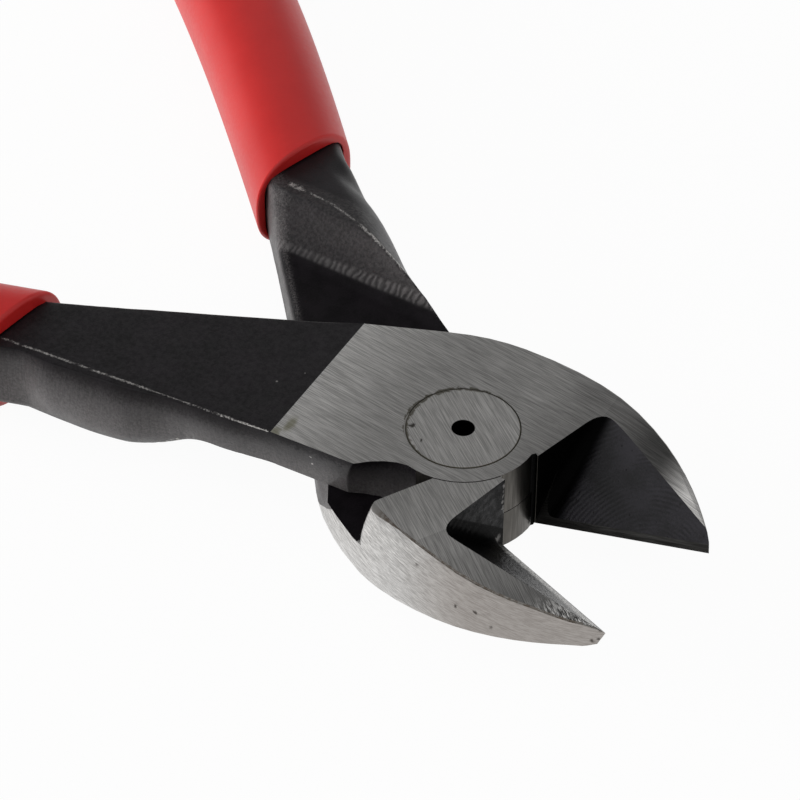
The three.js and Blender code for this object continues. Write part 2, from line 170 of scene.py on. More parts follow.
# Tang and grip along the handle's centre line.
GRIP_START = Vector((-47.8, -6.8))
GRIP_START_ANGLE = 16.5
GRIP_END = Vector((-152.25, -22.0))
GRIP_END_ANGLE = -4.0
GRIP_PULLS = (40.0, 38.0)
TANG_HALF_WIDTHS = (3.75, 3.0)
TANG_HALF_HEIGHT = 4.2
TANG_SETBACK = 4.0
GRIP_GAP = 0.32
GRIP_WALL = 1.63
GRIP_SWELL = 0.9
MOUTH_SQUEEZE = 0.22
GRIP_MOUTH_SLANTS = {1: 25, -1: 31}
GRIP_SETBACKS = {1: 2.0, -1: 0.4}
GRIP_MOUTH_FADE = 25.0
GRIP_SQUARENESS = 2.5
BORE_SQUARENESS = 5.0

# Pin.
PIN_SHAFT = 4.5
PIN_HEAD_DEPTH = 1.8
PIN_EDGE_ROUNDING = 0.05
EYE_RADIUS = 1.18
EYE_CHAMFER = 0.03
EYE_DEPTH = 6.0


def heading(degrees):
    angle = math.radians(degrees)
    return Vector((math.cos(angle), math.sin(angle)))


def mix(a, b, share):
    return a + (b - a) * share


def smooth_share(value, low, high):
    share = min(max((value - low) / (high - low), 0.0), 1.0)
    return share * share * (3 - 2 * share)


def soft_min(a, b, blend):
    share = min(max(0.5 + (b - a) / (2 * blend), 0.0), 1.0)
    return mix(b, a, share) - blend * share * (1 - share)


def soft_max(a, b, blend):
    return -soft_min(-a, -b, blend)


# Centre line of the handle as even steps of a cubic curve.
def centre_line():
    first = GRIP_START + heading(180 + GRIP_START_ANGLE) * GRIP_PULLS[0]
    second = GRIP_END + heading(GRIP_END_ANGLE) * GRIP_PULLS[1]
    points = []
    steps = 400
    for i in range(steps + 1):
        t = i / steps
        u = 1 - t
        points.append(
            GRIP_START * u**3 + first * (3 * u * u * t) + second * (3 * u * t * t) + GRIP_END * t**3
        )
    lengths = [0.0]
    for before, after in zip(points, points[1:]):
        lengths.append(lengths[-1] + (after - before).length)
    return points, lengths


LINE, LINE_LENGTHS = centre_line()
LINE_LENGTH = LINE_LENGTHS[-1]


def handle_frame(length):
    """Centre, direction and inward side of the handle at a length along its centre line."""
    length = min(max(length, 0.0), LINE_LENGTH)
    k = 0
    while k + 2 < len(LINE) and LINE_LENGTHS[k + 1] < length:
        k += 1
    along = (LINE[k + 1] - LINE[k]).normalized()
    centre = LINE[k] + along * (length - LINE_LENGTHS[k])
    return centre, along, Vector((along.y, -along.x))


def tang_half_width(length):
    return mix(*TANG_HALF_WIDTHS, length / LINE_LENGTH)


# The two sides of the handle seen from above, by length behind the ground faces.
def tang_side(length, side, fullness):
    centre, along, inward = handle_frame(length)
    half_width = tang_half_width(length) + fullness * fullness_share(length)
    return centre + inward * (side * half_width), inward * side


def fullness_share(length):
    """How much of the tang's extra width is left at a length inside the grip."""
    return 1 - smooth_share(length, 3, 15)


class HandleSide:
    """One long side of the handle: straight from the head to the grip, then along the tang."""

    def __init__(self, start, side, fullness):
        self.start = start
        self.side = side
        self.fullness = fullness
        self.grip = tang_side(0, side, fullness)[0]
        self.run = (self.grip - start).length
        self.along = (self.grip - start).normalized()
        self.outward = Vector((self.along.y, -self.along.x)) * side

    def at(self, length):
        if length <= self.run:
            return self.start + self.along * length, self.outward
        return tang_side(length - self.run, self.side, self.fullness)


def ground_height(x):
    share = min(max((GROUND_END - x) / (GROUND_END - GRIP_START.x), 0.0), 1.0)
    return mix(HEAD, MID + TANG_HALF_HEIGHT, share)


def cut_height(point, to_joint, form):
    """Height of the lap floor and of the ramp that climbs from it, without the tang."""
    past_foot = (Vector(form["foot"]) - point).dot(to_joint)
    ramp = LAP_FLOOR - past_foot * math.tan(math.radians(form["ramp_angle"]))
    return soft_min(LAP_FLOOR, ramp, RAMP_FOOT_ROUNDING)


def round_rise(distance, radius):
    """How far a round edge stands back from its flat face at a distance from the wall beside it."""
    if distance >= radius:
        return 0.0
    return radius - math.sqrt(radius * radius - (radius - distance) ** 2)


def round_corner(corner, before, after, reach, steps):
    points = []
    for i in range(steps + 1):
        t = i / steps
        points.append(corner + before * (reach * (1 - t) ** 2) + after * (reach * t * t))
    return points


def along_handle(x, places, values):
    """Value that goes over from one to another between two places along the handle."""
    return mix(*values, smooth_share(-x, -places[0], -places[1]))


def handle_rings(inner_y, outer_y, form):
    """Rings of the forged handle from the ground faces to the end of the tang, ground face up, and the
    points of the ramp's rim on its round outer side."""
    inner = HandleSide(Vector((GROUND_END, inner_y)), 1, form["fullness"][1])
    outer = HandleSide(Vector((GROUND_END, outer_y)), -1, form["fullness"][-1])
    foot = Vector(form["foot"])
    to_joint = heading(90 - form["foot_angle"])
    inner_rate = -inner.along.dot(to_joint)
    outer_rate = -outer.along.dot(to_joint)
    inner_foot = (inner.start - foot).dot(to_joint) / inner_rate
    outer_foot = (outer.start - foot).dot(to_joint) / outer_rate
    before_foot = min(outer_foot * outer_rate * 0.92, 4.0)
    past_top = 8.0
    hidden = 16.0
    end = LINE_LENGTH - TANG_SETBACK
    stations = [
        (0.12, 0.12, 26),
        (inner_foot - before_foot / inner_rate, outer_foot - before_foot / outer_rate, 110),
        (inner_foot + past_top / inner_rate, outer_foot + past_top / outer_rate, 24),
        (inner.run + hidden, outer.run + hidden, 24),
        (inner.run + end, outer.run + end, 1),
    ]
    rings = []
    rim = []
    for (a0, b0, count), (a1, b1, _) in zip(stations, stations[1:] + stations[-1:]):
        for i in range(count):
            a = mix(a0, a1, i / count)
            b = mix(b0, b1, i / count)
            ring, crossing = handle_ring(inner, outer, a, b, form)
            rings.append(ring)
            rim += crossing
    return rings, rim


def handle_ring(inner, outer, a, b, form):
    """One ring of the handle, from its outer ground edge over the ground face and round, and where the
    ramp's rim crosses it."""
    p_in, n_in = inner.at(a)
    p_out, n_out = outer.at(b)
    in_draft = mix(INNER_DRAFT, TANG_DRAFT, min(a / inner.run, 1.0))
    out_draft = along_handle(p_out.x, form["slope"], (OUTER_DRAFT, TANG_DRAFT))
    fade = 1 - smooth_share(a, inner.run - 9, inner.run + 1)
    out_fade = 1 - smooth_share(b, outer.run - form["run_out"], outer.run + 1)
    in_draft *= fade
    out_draft *= out_fade
    start = smooth_share(a, 0.0, 5.0)
    out_start = smooth_share(b, 0.0, 5.0)
    out_bulge = along_handle(p_out.x, form["swell"], (INNER_BULGE, form["bulge"]))
    out_bulge = mix(INNER_BULGE, out_bulge + along_handle(p_out.x, *form["belly"]), out_fade)
    outer_round = along_handle(p_out.x, form["taper"], form["round"])

    def side_point(share, height):
        """Point at a share of the way from the outer to the inner side, at a height."""
        level = (height - MID) / MID
        bulge = 1 - level * level
        low = p_out - n_out * (out_draft * (1 - level) / 2 - out_bulge * bulge)
        high = p_in - n_in * (in_draft * (1 - level) / 2 - INNER_BULGE * bulge)
        return Vector((*low.lerp(high, share), height))

    go = ground_height(p_out.x)
    gi = ground_height(p_in.x)
    width = (p_in - p_out).length
    ground_edge = mix(FINE_ROUNDING, GROUND_EDGE_ROUNDING, out_start)
    inner_ground_edge = mix(FINE_ROUNDING, GROUND_EDGE_ROUNDING * 1.6, start)
    lap_edge = mix(FINE_ROUNDING, LAP_EDGE_ROUNDING, out_start)
    inner_edge = mix(FINE_ROUNDING, INNER_LAP_ROUNDING, start)
    to_joint = heading(90 - form["foot_angle"])
    steps = 34
    lap = []
    crossing = []
    on_ramp = False
    for i in range(steps + 1):
        share = (1 + math.cos(math.pi * i / steps)) / 2
        flat = p_out.lerp(p_in, share)
        off_outer = share * width
        off_inner = width - off_outer
        cut = cut_height(flat, to_joint, form) + round_rise(off_outer, lap_edge)
        body = HEAD - ground_height(flat.x) + round_rise(off_outer, outer_round)
        height = soft_max(cut, body, RIM_ROUNDING) + round_rise(off_inner, inner_edge)
        lap.append(side_point(share, height))
        if on_ramp and body >= cut:
            crossing.append(lap[-1].copy())
        on_ramp = cut > body
    outer_top = side_point(0.0, go)
    inner_top = side_point(1.0, gi)
    across = (inner_top - outer_top).normalized()
    outer_down = (side_point(0.0, go - 1) - outer_top).normalized()
    inner_down = (side_point(1.0, gi - 1) - inner_top).normalized()
    ring = round_corner(outer_top, outer_down, across, ground_edge, 5)
    last = ring[-1]
    turn = round_corner(inner_top, -across, inner_down, inner_ground_edge, 5)
    ring += [last.lerp(turn[0], i / 16) for i in range(1, 16)]
    ring += turn
    ring += [side_point(1.0, mix(turn[-1].z, lap[0].z, i / 9)) for i in range(1, 9)]
    ring += lap
    ring += [side_point(0.0, mix(lap[-1].z, ring[0].z, i / 12)) for i in range(1, 12)]
    rough = FORGING_WAVES * out_start * fade
    return [waved(p, rough) for p in ring], crossing


def waved(point, rough):
    """A point of the forging, moved by faint broad and fine waves."""
    broad = noise.noise_vector(point * 0.33) * rough
    fine = noise.noise_vector(point * 1.1) * (rough * 0.4)
    return point + broad + fine


def add_rings(bm, rings, slot, close_first, close_last):
    """Faces through rings that have the same number of points."""
    loops = [[bm.verts.new(p) for p in ring] for ring in rings]
    for below, above in zip(loops, loops[1:]):
        for i in range(len(below)):
            j = (i + 1) % len(below)
            face = bm.faces.new((below[i], below[j], above[j], above[i]))
            face.smooth = True
            face.material_index = slot
    for close, loop in ((close_first, loops[0]), (close_last, loops[-1])):
        if close:
            bm.faces.new(loop).material_index = slot
    return loops


# Finishes of a lever, in the order of its material slots.
GROUND, SIDE, TIP, MILLED, HONED, HUB_WALL, EDGE, BLACK = range(8)
KEEP_FINISH = -1


def head_finish(face):
    """Which finish a face of the head has, from where it is and which way it faces."""
    n = face.normal
    c = face.calc_center_median()
    honed = Vector((-EDGE_CLIMB, -math.tan(math.radians(HONED_ANGLE)), 1)).normalized()
    flat = abs(n.z) > 0.93
    clear_of_lap = abs(c.z - MID) > 1.2
    past_hub = c.x > HUB + 0.2
    beside_edge = c.y > -0.15
    if flat and clear_of_lap:
        return TIP if n.x > 0.08 else GROUND
    if n.y > 0.12 and abs(n.z) < 0.6:
        return SIDE
    if past_hub and n.angle(honed) < 0.12:
        return HONED
    if past_hub or (c.x > HUB - 0.6 and beside_edge):
        return MILLED
    if not beside_edge and c.x > -1.2 and abs(n.z) < 0.3:
        return HUB_WALL
    return BLACK


def is_outer_edge(edge):
    """Whether an edge lies between a flat ground face and the ground side of the jaw."""
    kinds = {face.material_index for face in edge.link_faces}
    return SIDE in kinds and bool(kinds & {GROUND, TIP})


def is_plain_edge(edge):
    """Whether an edge is clear of the worn edge of the jaw and of the rims of the pin's hole."""
    worn = any(face.material_index == EDGE for face in edge.link_faces)
    return not worn and min(v.co.xy.length for v in edge.verts) > PIN_HEAD + 0.3


def sharp_edges(bm, angle):
    return [e for e in bm.edges if len(e.link_faces) == 2 and e.calc_face_angle() > math.radians(angle)]


def upright_near(edges, x, y, reach):
    """Edges that stand along the pivot axis near a place."""
    found = []
    for edge in edges:
        run = edge.verts[1].co - edge.verts[0].co
        middle = (edge.verts[0].co + edge.verts[1].co) / 2
        if abs(run.z) > 0.8 * run.length and (middle.xy - Vector((x, y))).length < reach:
            found.append(edge)
    return found


def round_edges(bm, edges, width, slot, segments=2, clamp=False):
    """Narrow round along edges, with the finish of its slot or of the faces beside it."""
    bmesh.ops.bevel(
        bm,
        geom=edges,
        offset=width,
        segments=segments,
        profile=0.5,
        affect="EDGES",
        clamp_overlap=clamp,
        loop_slide=True,
        material=slot,
    )


def hollow_heel(bm, ground_up):
    """The notch at the heel is cut with a round cutter, which goes farthest back near the lap."""
    back, front = HEEL_NOTCH_X
    for vert in bm.verts:
        p = vert.co
        if p.y < HEEL_NOTCH_Y and back < p.x < front:
            level = (p.z - MID) * ground_up
            reach = HEEL_REACH * (1 - ((level - HEEL_DEEPEST) / HEEL_HOLLOW) ** 2)
            p.x -= reach * smooth_share(-p.x, -front, -HEEL_FULL_X)


def shape_lower_jaw(bm):
    """The lower forging stands out more under its jaw, draws in towards its lap behind the jaw, and ends in
    a short steep face at its tip, up to which its tapered face runs."""
    ends = [min(bm.verts, key=lambda v: (v.co - corner).length) for corner in (TAPER_END, TIP_CORNER)]
    bmesh.ops.pointmerge(bm, verts=ends, merge_co=ends[1].co)
    for vert in bm.verts:
        p = vert.co
        if p.z < LAP_FLOOR and p.y > BACK_Y and BACK_X[0] < p.x < BACK_X[1]:
            share = p.z / MID
            under = BACK_FULLNESS * (1 - smooth_share(p.x, 3, BACK_X[1])) * smooth_share(p.x, BACK_X[0], -5)
            lap = BACK_DRAW_IN * smooth_share(-p.x, -4, -1) + smooth_share(-p.x, 2, 4.6)
            p.y += under * (1 - share) - lap * share**3
        elif p.x > TIP_FACE_X[0] and p.z > TIP_FACE_Z:
            p.z -= TIP_FACE_DROP * smooth_share(p.x, *TIP_FACE_X)
            p.z += TIP_POINT_LIFT * smooth_share(p.x, *TIP_POINT_X)
        elif p.x > TIP_UNDER_X[0] and p.z < TIP_UNDER_Z:
            p.z -= TIP_UNDER_DROP * smooth_share(p.x, *TIP_UNDER_X)


def cut_faces(bm, faces, point, facing, clear_outer=False):
    """Cuts faces with a plane, and clears away what lies outside it if that is asked for."""
    geom = {*faces}
    for face in faces:
        geom.update(face.edges)
        geom.update(face.verts)
    bmesh.ops.bisect_plane(bm, geom=list(geom), plane_co=point, plane_no=facing, clear_outer=clear_outer)


def at_horn(point):
    return all(a > b for a, b in zip(point, HORN_REGION))


def wear_horn(bm):
    """Flat worn on the upper edge of the lower jaw at its horn."""
    near = [f for f in bm.faces if any(at_horn(v.co) for v in f.verts)]
    cut_faces(bm, near, HORN_FLAT, HORN_FLAT_FACING, clear_outer=True)
    rim = [e for e in bm.edges if len(e.link_faces) == 1 and e.verts[0].co.x > HORN_REGION.x]
    for face in bmesh.ops.contextual_create(bm, geom=rim)["faces"]:
        face.material_index = EDGE
        face.smooth = True


def blacken_jaw_back(bm, ground_up):
    """The grinding of the jaw's side runs out at a slant on the half that laps under the other lever."""
    corner = Vector((*GRINDING_END, MID - 0.05 * ground_up))
    across = Vector((-1, 0, -GRINDING_END_TILT * ground_up))
    near = [f for f in bm.faces if f.material_index == SIDE and f.calc_center_median().x < 6]
    cut_faces(bm, near, corner, across)
    for face in bm.faces:
        c = face.calc_center_median()
        lapped = (c.z - MID) * ground_up > -0.1
        if face.material_index == SIDE and lapped and c.x < 0.5 and (c - corner).dot(across) > 0:
            face.material_index = BLACK


def lever_mesh(node, side):
    """A lever: its ground head from the solid, with fine edges, and its forged handle. The rim of its ramp
    comes with it."""
    bm = bmesh.new()
    bm.from_mesh(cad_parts[node].data)
    turn = Matrix.Rotation(-side * HALF_MOUTH, 4, "Z")
    to_lever = Matrix.Diagonal((1, side, 1, 1)) @ turn @ Matrix.Scale(1 / MM, 4)
    bmesh.ops.transform(bm, matrix=to_lever, verts=bm.verts)
    if side < 0:
        bmesh.ops.reverse_faces(bm, faces=bm.faces)
    bmesh.ops.remove_doubles(bm, verts=bm.verts, dist=0.03)
    everything = [*bm.verts, *bm.edges, *bm.faces]
    ground_end = {"plane_co": (GROUND_END, 0, 0), "plane_no": (-1, 0, 0), "clear_outer": True}
    bmesh.ops.bisect_plane(bm, geom=everything, **ground_end)
    bmesh.ops.dissolve_limit(bm, angle_limit=math.radians(0.5), verts=bm.verts, edges=bm.edges)
    bm.normal_update()
    for face in bm.faces:
        face.material_index = head_finish(face)
        face.smooth = True
    start = [v.co.copy() for e in bm.edges if len(e.link_faces) == 1 for v in e.verts]
    ground_up = 1 if max(p.z for p in start) > HEAD - 0.5 else -1
    near_ground = [p.y for p in start if (p.z - MID) * ground_up > MID - 0.02]
    hollow_heel(bm, ground_up)
    if side < 0:
        shape_lower_jaw(bm)
    bm.normal_update()
    round_edges(bm, upright_near(sharp_edges(bm, 18), *HEEL, 1.0), HEEL_ROUNDING, KEEP_FINISH, 2)
    round_edges(bm, upright_near(sharp_edges(bm, 28), *HORN, 0.9), HORN_ROUNDING, KEEP_FINISH, 4)
    relief_edge = upright_near(sharp_edges(bm, 20), *RELIEF_EDGE, 0.35)
    round_edges(bm, relief_edge, FINE_ROUNDING, HUB_WALL, 2, True)
    if side < 0:
        wear_horn(bm)
    sharp = sharp_edges(bm, 28)
    worn = [e for e in sharp if is_outer_edge(e) and e.verts[0].co.z > MID]
    round_edges(bm, worn, JAW_EDGE_ROUNDINGS[side], EDGE)
    plain = [e for e in sharp if e.is_valid and is_plain_edge(e)]
    round_edges(bm, plain, FINE_ROUNDING, KEEP_FINISH, 2, True)
    blacken_jaw_back(bm, ground_up)
    start = [e for e in bm.edges if len(e.link_faces) == 1]
    rings, rim = handle_rings(max(near_ground), min(near_ground), OUTER_SIDES[side])
    if ground_up < 0:
        rings = [[Vector((p.x, p.y, HEAD - p.z)) for p in ring] for ring in rings]
    loops = add_rings(bm, rings, BLACK, False, True)
    first = loops[0]
    first_edges = [bm.edges.get((first[i], first[i - 1])) for i in range(len(first))]
    bridge = bmesh.ops.bridge_loops(bm, edges=start + first_edges)
    for face in bridge["faces"]:
        face.material_index = BLACK
        face.smooth = True
    bmesh.ops.recalc_face_normals(bm, faces=bm.faces)
    bm.normal_update()
    if side < 0:
        bmesh.ops.transform(bm, matrix=Matrix.Diagonal((1, -1, 1, 1)), verts=bm.verts)
        bmesh.ops.reverse_faces(bm, faces=bm.faces)
    return finished_mesh(bm, node + "_forging"), rim


def finished_mesh(bm, name):
    bmesh.ops.transform(bm, matrix=Matrix.Scale(MM, 4), verts=bm.verts)
    mesh = bpy.data.meshes.new(name)
    bm.to_mesh(mesh)
    bm.free()
    return mesh


def grip_mesh(name, side):
    """Sleeve with a thick round lip at its slanted mouth, a round end, and a bore for the tang."""
    start = GRIP_SETBACKS[side]
    fullness = OUTER_SIDES[side]["fullness"]
    wider = (fullness[1] + fullness[-1]) / 2
    sides = 72

    def ring(length, half_width, half_height, squareness, inset, shift=0.0):
        centre, along, inward = handle_frame(length)
        fade = max(1 - (length - start) / GRIP_MOUTH_FADE, 0.0)
        slant = math.tan(math.radians(GRIP_MOUTH_SLANTS[side])) * fade
        points = []
        for i in range(sides):
            turn = 2 * math.pi * i / sides
            c, s = math.cos(turn), math.sin(turn)
            u = (half_width - inset) * math.copysign(abs(c) ** (2 / squareness), c)
            v = (half_height - inset) * math.copysign(abs(s) ** (2 / squareness), s)
            plan = centre + inward * (u + shift) - along * (u * slant)
            points.append(Vector((plan.x, plan.y, MID + v)))
        return points

    def outer(length, inset):
        swell = GRIP_SWELL * math.sin(math.pi * length / LINE_LENGTH)
        wide = tang_half_width(length) + INNER_BULGE + GRIP_GAP + GRIP_WALL + swell
        high = TANG_HALF_HEIGHT + GRIP_GAP + GRIP_WALL + swell / 2
        return ring(length, wide, high, GRIP_SQUARENESS, inset)

    def bore(length, inset):
        inset += MOUTH_SQUEEZE * (1 - smooth_share(length, start, start + 6))
        share = fullness_share(length)
        wide = tang_half_width(length) + INNER_BULGE + GRIP_GAP + wider * share
        shift = (fullness[1] - fullness[-1]) / 2 * share
        return ring(length, wide, TANG_HALF_HEIGHT + GRIP_GAP, BORE_SQUARENESS, inset, shift)

    lip = (GRIP_WALL - max(fullness.values())) * 0.52
    cap = TANG_HALF_HEIGHT + GRIP_GAP + GRIP_WALL
    bore_end = LINE_LENGTH - TANG_SETBACK + 0.5
    rings = []
    bore_steps = 40
    for i in range(bore_steps + 1):
        length = mix(bore_end, start + lip, i / bore_steps)
        rings.append(bore(length, 0.0))
    for i in range(1, 6):
        turn = math.pi / 2 * i / 5
        rings.append(bore(start + lip * (1 - math.sin(turn)), -lip * 0.45 * (1 - math.cos(turn))))
    for i in range(7):
        turn = math.pi / 2 * i / 6
        rings.append(outer(start + lip * (1 - math.cos(turn)), lip * (1 - math.sin(turn))))
    body_end = LINE_LENGTH - cap
    body_steps = 70
    for i in range(1, body_steps):
        rings.append(outer(mix(start + lip, body_end, i / body_steps), 0.0))
    cap_steps = 14
    for i in range(cap_steps):
        turn = math.radians(88) * i / (cap_steps - 1)
        rings.append(outer(body_end + cap * math.sin(turn), cap * (1 - math.cos(turn))))
    bm = bmesh.new()
    add_rings(bm, rings, 0, True, True)
    if side < 0:
        bmesh.ops.transform(bm, matrix=Matrix.Diagonal((1, -1, 1, 1)), verts=bm.verts)
    bmesh.ops.recalc_face_normals(bm, faces=bm.faces)
    return finished_mesh(bm, name)


def pin_mesh(name):
    """Countersunk pin turned about its axis, its ends ground flush, with a round eye in its upper end."""
    edge = PIN_EDGE_ROUNDING
    profile = [(PIN_HEAD - edge, 0.0)]
    for i in range(1, 4):
        turn = math.pi / 2 * i / 4
        profile.append((PIN_HEAD - edge * (1 - math.sin(turn)), edge * (1 - math.cos(turn))))
    profile.append((PIN_HEAD - edge * 0.2, edge * 1.4))
    profile.append((PIN_SHAFT, PIN_HEAD_DEPTH))
    upper = [(r, HEAD - z) for r, z in reversed(profile)]
    profile += upper
    profile += [(EYE_RADIUS + EYE_CHAMFER, HEAD), (EYE_RADIUS, HEAD - EYE_CHAMFER)]
    profile += [(EYE_RADIUS, HEAD - EYE_DEPTH), (EYE_RADIUS * 0.5, HEAD - EYE_DEPTH - 0.4)]
    sides = 144
    rings = []
    for radius, height in profile:
        turns = [2 * math.pi * i / sides for i in range(sides)]
        rings.append([Vector((radius * math.cos(t), radius * math.sin(t), height)) for t in turns])
    bm = bmesh.new()
    add_rings(bm, rings, 0, True, True)
    bmesh.ops.recalc_face_normals(bm, faces=bm.faces)
    return finished_mesh(bm, name)


def piece(name, mesh, turn, body, node, materials):
    """Object from a mesh, which stands for a node of the solid model and rides on its body."""
    obj = bpy.data.objects.new(name, mesh)
    bpy.context.scene.collection.objects.link(obj)
    obj.rotation_euler.z = turn
    for material in materials:
        mesh.materials.append(material)
    mesh.set_sharp_from_angle(angle=math.radians(38))
    keep_flat = obj.modifiers.new("flat_faces", "WEIGHTED_NORMAL")
    keep_flat.keep_sharp = True
    keep_flat.weight = 90
    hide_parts(node)
    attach(obj, body)


# Shader nodes. Sums and products of fields, numbers and places make further nodes.
class Field:
    """Value, place or colour that varies over a surface: the output of a shader node."""

    def __init__(self, tree, socket):
        self.tree = tree
        self.socket = socket

    def is_value(self):
        return self.socket.type == "VALUE"

    def math(self, operation, *others):
        inputs = dict(enumerate((self, *others)))
        return field(self.tree, "ShaderNodeMath", inputs, operation=operation)

    def vector_math(self, operation, others, output="Vector"):
        inputs = {0: self, **others}
        return field(self.tree, "ShaderNodeVectorMath", inputs, output, operation=operation)

    def joined(self, operation, other):
        if self.is_value():
            return self.math(operation, other)
        return self.vector_math(operation, {1: other})

    def __add__(self, other):
        return self.joined("ADD", other)

    def __sub__(self, other):
        return self.joined("SUBTRACT", other)

    def __mul__(self, other):
        single = other.is_value() if isinstance(other, Field) else not isinstance(other, tuple)
        if single and not self.is_value():
            return self.vector_math("SCALE", {"Scale": other})
        return self.joined("MULTIPLY", other)

    def __truediv__(self, other):
        return self.math("DIVIDE", other)

    def __rsub__(self, number):
        return field(self.tree, "ShaderNodeMath", {0: number, 1: self}, operation="SUBTRACT")

    def __rtruediv__(self, number):
        return field(self.tree, "ShaderNodeMath", {0: number, 1: self}, operation="DIVIDE")

    def clamped(self):
        self.socket.node.use_clamp = True
        return self

    def most(self, other):
        return self.math("MAXIMUM", other)

    def size(self):
        return self.math("ABSOLUTE")

    def sine(self):
        return self.math("SINE")

    def length(self):
        return self.vector_math("LENGTH", {}, "Value")

    def dot(self, other):
        return self.vector_math("DOT_PRODUCT", {1: other}, "Value")

    def axes(self):
        parts = put(self.tree, "ShaderNodeSeparateXYZ", {"Vector": self}).outputs
        return [Field(self.tree, part) for part in parts]

    def swapped(self, order):
        """The place with its axes in another order, so that scratches run along another axis."""
        if order == "XYZ":
            return self
        parts = dict(zip("XYZ", self.axes()))
        inputs = {name: parts[source] for name, source in zip("XYZ", order)}
        return field(self.tree, "ShaderNodeCombineXYZ", inputs)

    def remap(self, low, high, to_low=0.0, to_high=1.0, kind="SMOOTHSTEP"):
        inputs = {"Value": self, "From Min": low, "From Max": high, "To Min": to_low, "To Max": to_high}
        return field(self.tree, "ShaderNodeMapRange", inputs, "Result", interpolation_type=kind)

    def band(self, low, high, soft):
        """One between two values, fading out beyond each."""
        return self.remap(low - soft, low) * self.remap(high, high + soft, 1.0, 0.0)

    def noise(self, scale, detail, roughness):
        inputs = {"Vector": self, "Scale": scale, "Detail": detail, "Roughness": roughness}
        return field(self.tree, "ShaderNodeTexNoise", inputs, "Fac")

    def blend(self, first, second):
        """Colour between two, with this field as the share of the second one."""
        node = put(self.tree, "ShaderNodeMix", data_type="RGBA", blend_type="MIX")
        for name, value in (("Factor", self), ("A", first), ("B", second)):
            set_input(next(s for s in node.inputs if s.name == name and s.enabled), value)
        return Field(self.tree, next(s for s in node.outputs if s.enabled))


def set_input(socket, value):
    if isinstance(value, Field):
        value.tree.links.new(value.socket, socket)
    else:
        socket.default_value = value


def put(tree, kind, inputs=None, **settings):
    node = tree.nodes.new(kind)
    for name, value in settings.items():
        setattr(node, name, value)
    for key, value in (inputs or {}).items():
        set_input(node.inputs[key], value)
    return node


def field(tree, kind, inputs=None, output=0, **settings):
    return Field(tree, put(tree, kind, inputs, **settings).outputs[output])


def most_of(masks):
    total = masks[0]
    for mask in masks[1:]:
        total = total.most(mask)
    return total


def socket_name(name):
    return name.replace("_", " ").capitalize()


def new_group(name, **inputs):
    """Empty node group, with a place and named inputs as fields. Further places have no preset value."""
    tree = bpy.data.node_groups.new(name, "ShaderNodeTree")
    for key, preset in {"place": None, **inputs}.items():
        kind = "NodeSocketVector" if preset is None else "NodeSocketFloat"
        socket = tree.interface.new_socket(socket_name(key), in_out="INPUT", socket_type=kind)
        if preset is not None:
            socket.default_value = preset
    start = tree.nodes.new("NodeGroupInput")
    return tree, *(Field(tree, start.outputs[socket_name(key)]) for key in ("place", *inputs))


def close_group(tree, **outputs):
    """The finished group, with a named output for each field."""
    for key, made in outputs.items():
        kind = "NodeSocketFloat" if made.is_value() else "NodeSocketColor"
        tree.interface.new_socket(socket_name(key), in_out="OUTPUT", socket_type=kind)
    end = tree.nodes.new("NodeGroupOutput")
    for key, made in outputs.items():
        set_input(end.inputs[socket_name(key)], made)
    return tree


def use_group(group, at, **inputs):
    """Outputs of a group, placed in the material that the place belongs to."""
    named = {socket_name(key): value for key, value in {"place": at, **inputs}.items()}
    outputs = put(at.tree, "ShaderNodeGroup", named, node_tree=group).outputs
    return SimpleNamespace(**{output.name.lower(): Field(at.tree, output) for output in outputs})


# Colours: a dark and a light tone of each finish, which scratches or grain mix, and single ones for marks.
GROUND_STEEL = ((0.27, 0.266, 0.258, 1), (0.86, 0.845, 0.825, 1))
SIDE_STEEL = ((0.31, 0.302, 0.292, 1), (0.93, 0.915, 0.895, 1))
HUB_STEEL = ((0.055, 0.051, 0.045, 1), (0.125, 0.117, 0.106, 1))
HONED_STEEL = ((0.02, 0.0195, 0.019, 1), (0.12, 0.117, 0.113, 1))
EDGE_STEEL = ((0.26, 0.25, 0.238, 1), (0.44, 0.43, 0.415, 1))
BLACK_SKIN = ((0.0035, 0.0028, 0.0036, 1), (0.0085, 0.0068, 0.0086, 1))
MILLED_SKIN = ((0.001, 0.001, 0.001, 1), (0.024, 0.0222, 0.028, 1))
RED_PLASTIC = ((0.535, 0.012, 0.011, 1), (0.58, 0.016, 0.0145, 1))
PIT_DARK = (0.06, 0.055, 0.05, 1)
SEAM_DIRT = (0.055, 0.047, 0.02, 1)
EDGE_DIRT = (0.13, 0.107, 0.086, 1)
OIL_STAIN = (0.2, 0.19, 0.085, 1)
BROWN_TONE = (0.31, 0.272, 0.245, 1)
DENT_DARK = (0.05, 0.042, 0.036, 1)
SPECK_DARK = (0.03, 0.025, 0.02, 1)
SCRATCH_DARK = (0.03, 0.03, 0.03, 1)
SCRATCH_BRIGHT = (1, 0.99, 0.97, 1)
SHEEN_AND_GREY_SKIN = (0.126, 0.118, 0.118, 1)
BARE_STEEL = (0.62, 0.6, 0.58, 1)
WORN_MILLED = (0.34, 0.335, 0.322, 1)
EDGE_STRIP = (0.66, 0.65, 0.63, 1)
BURR_GREY = (0.34, 0.33, 0.32, 1)

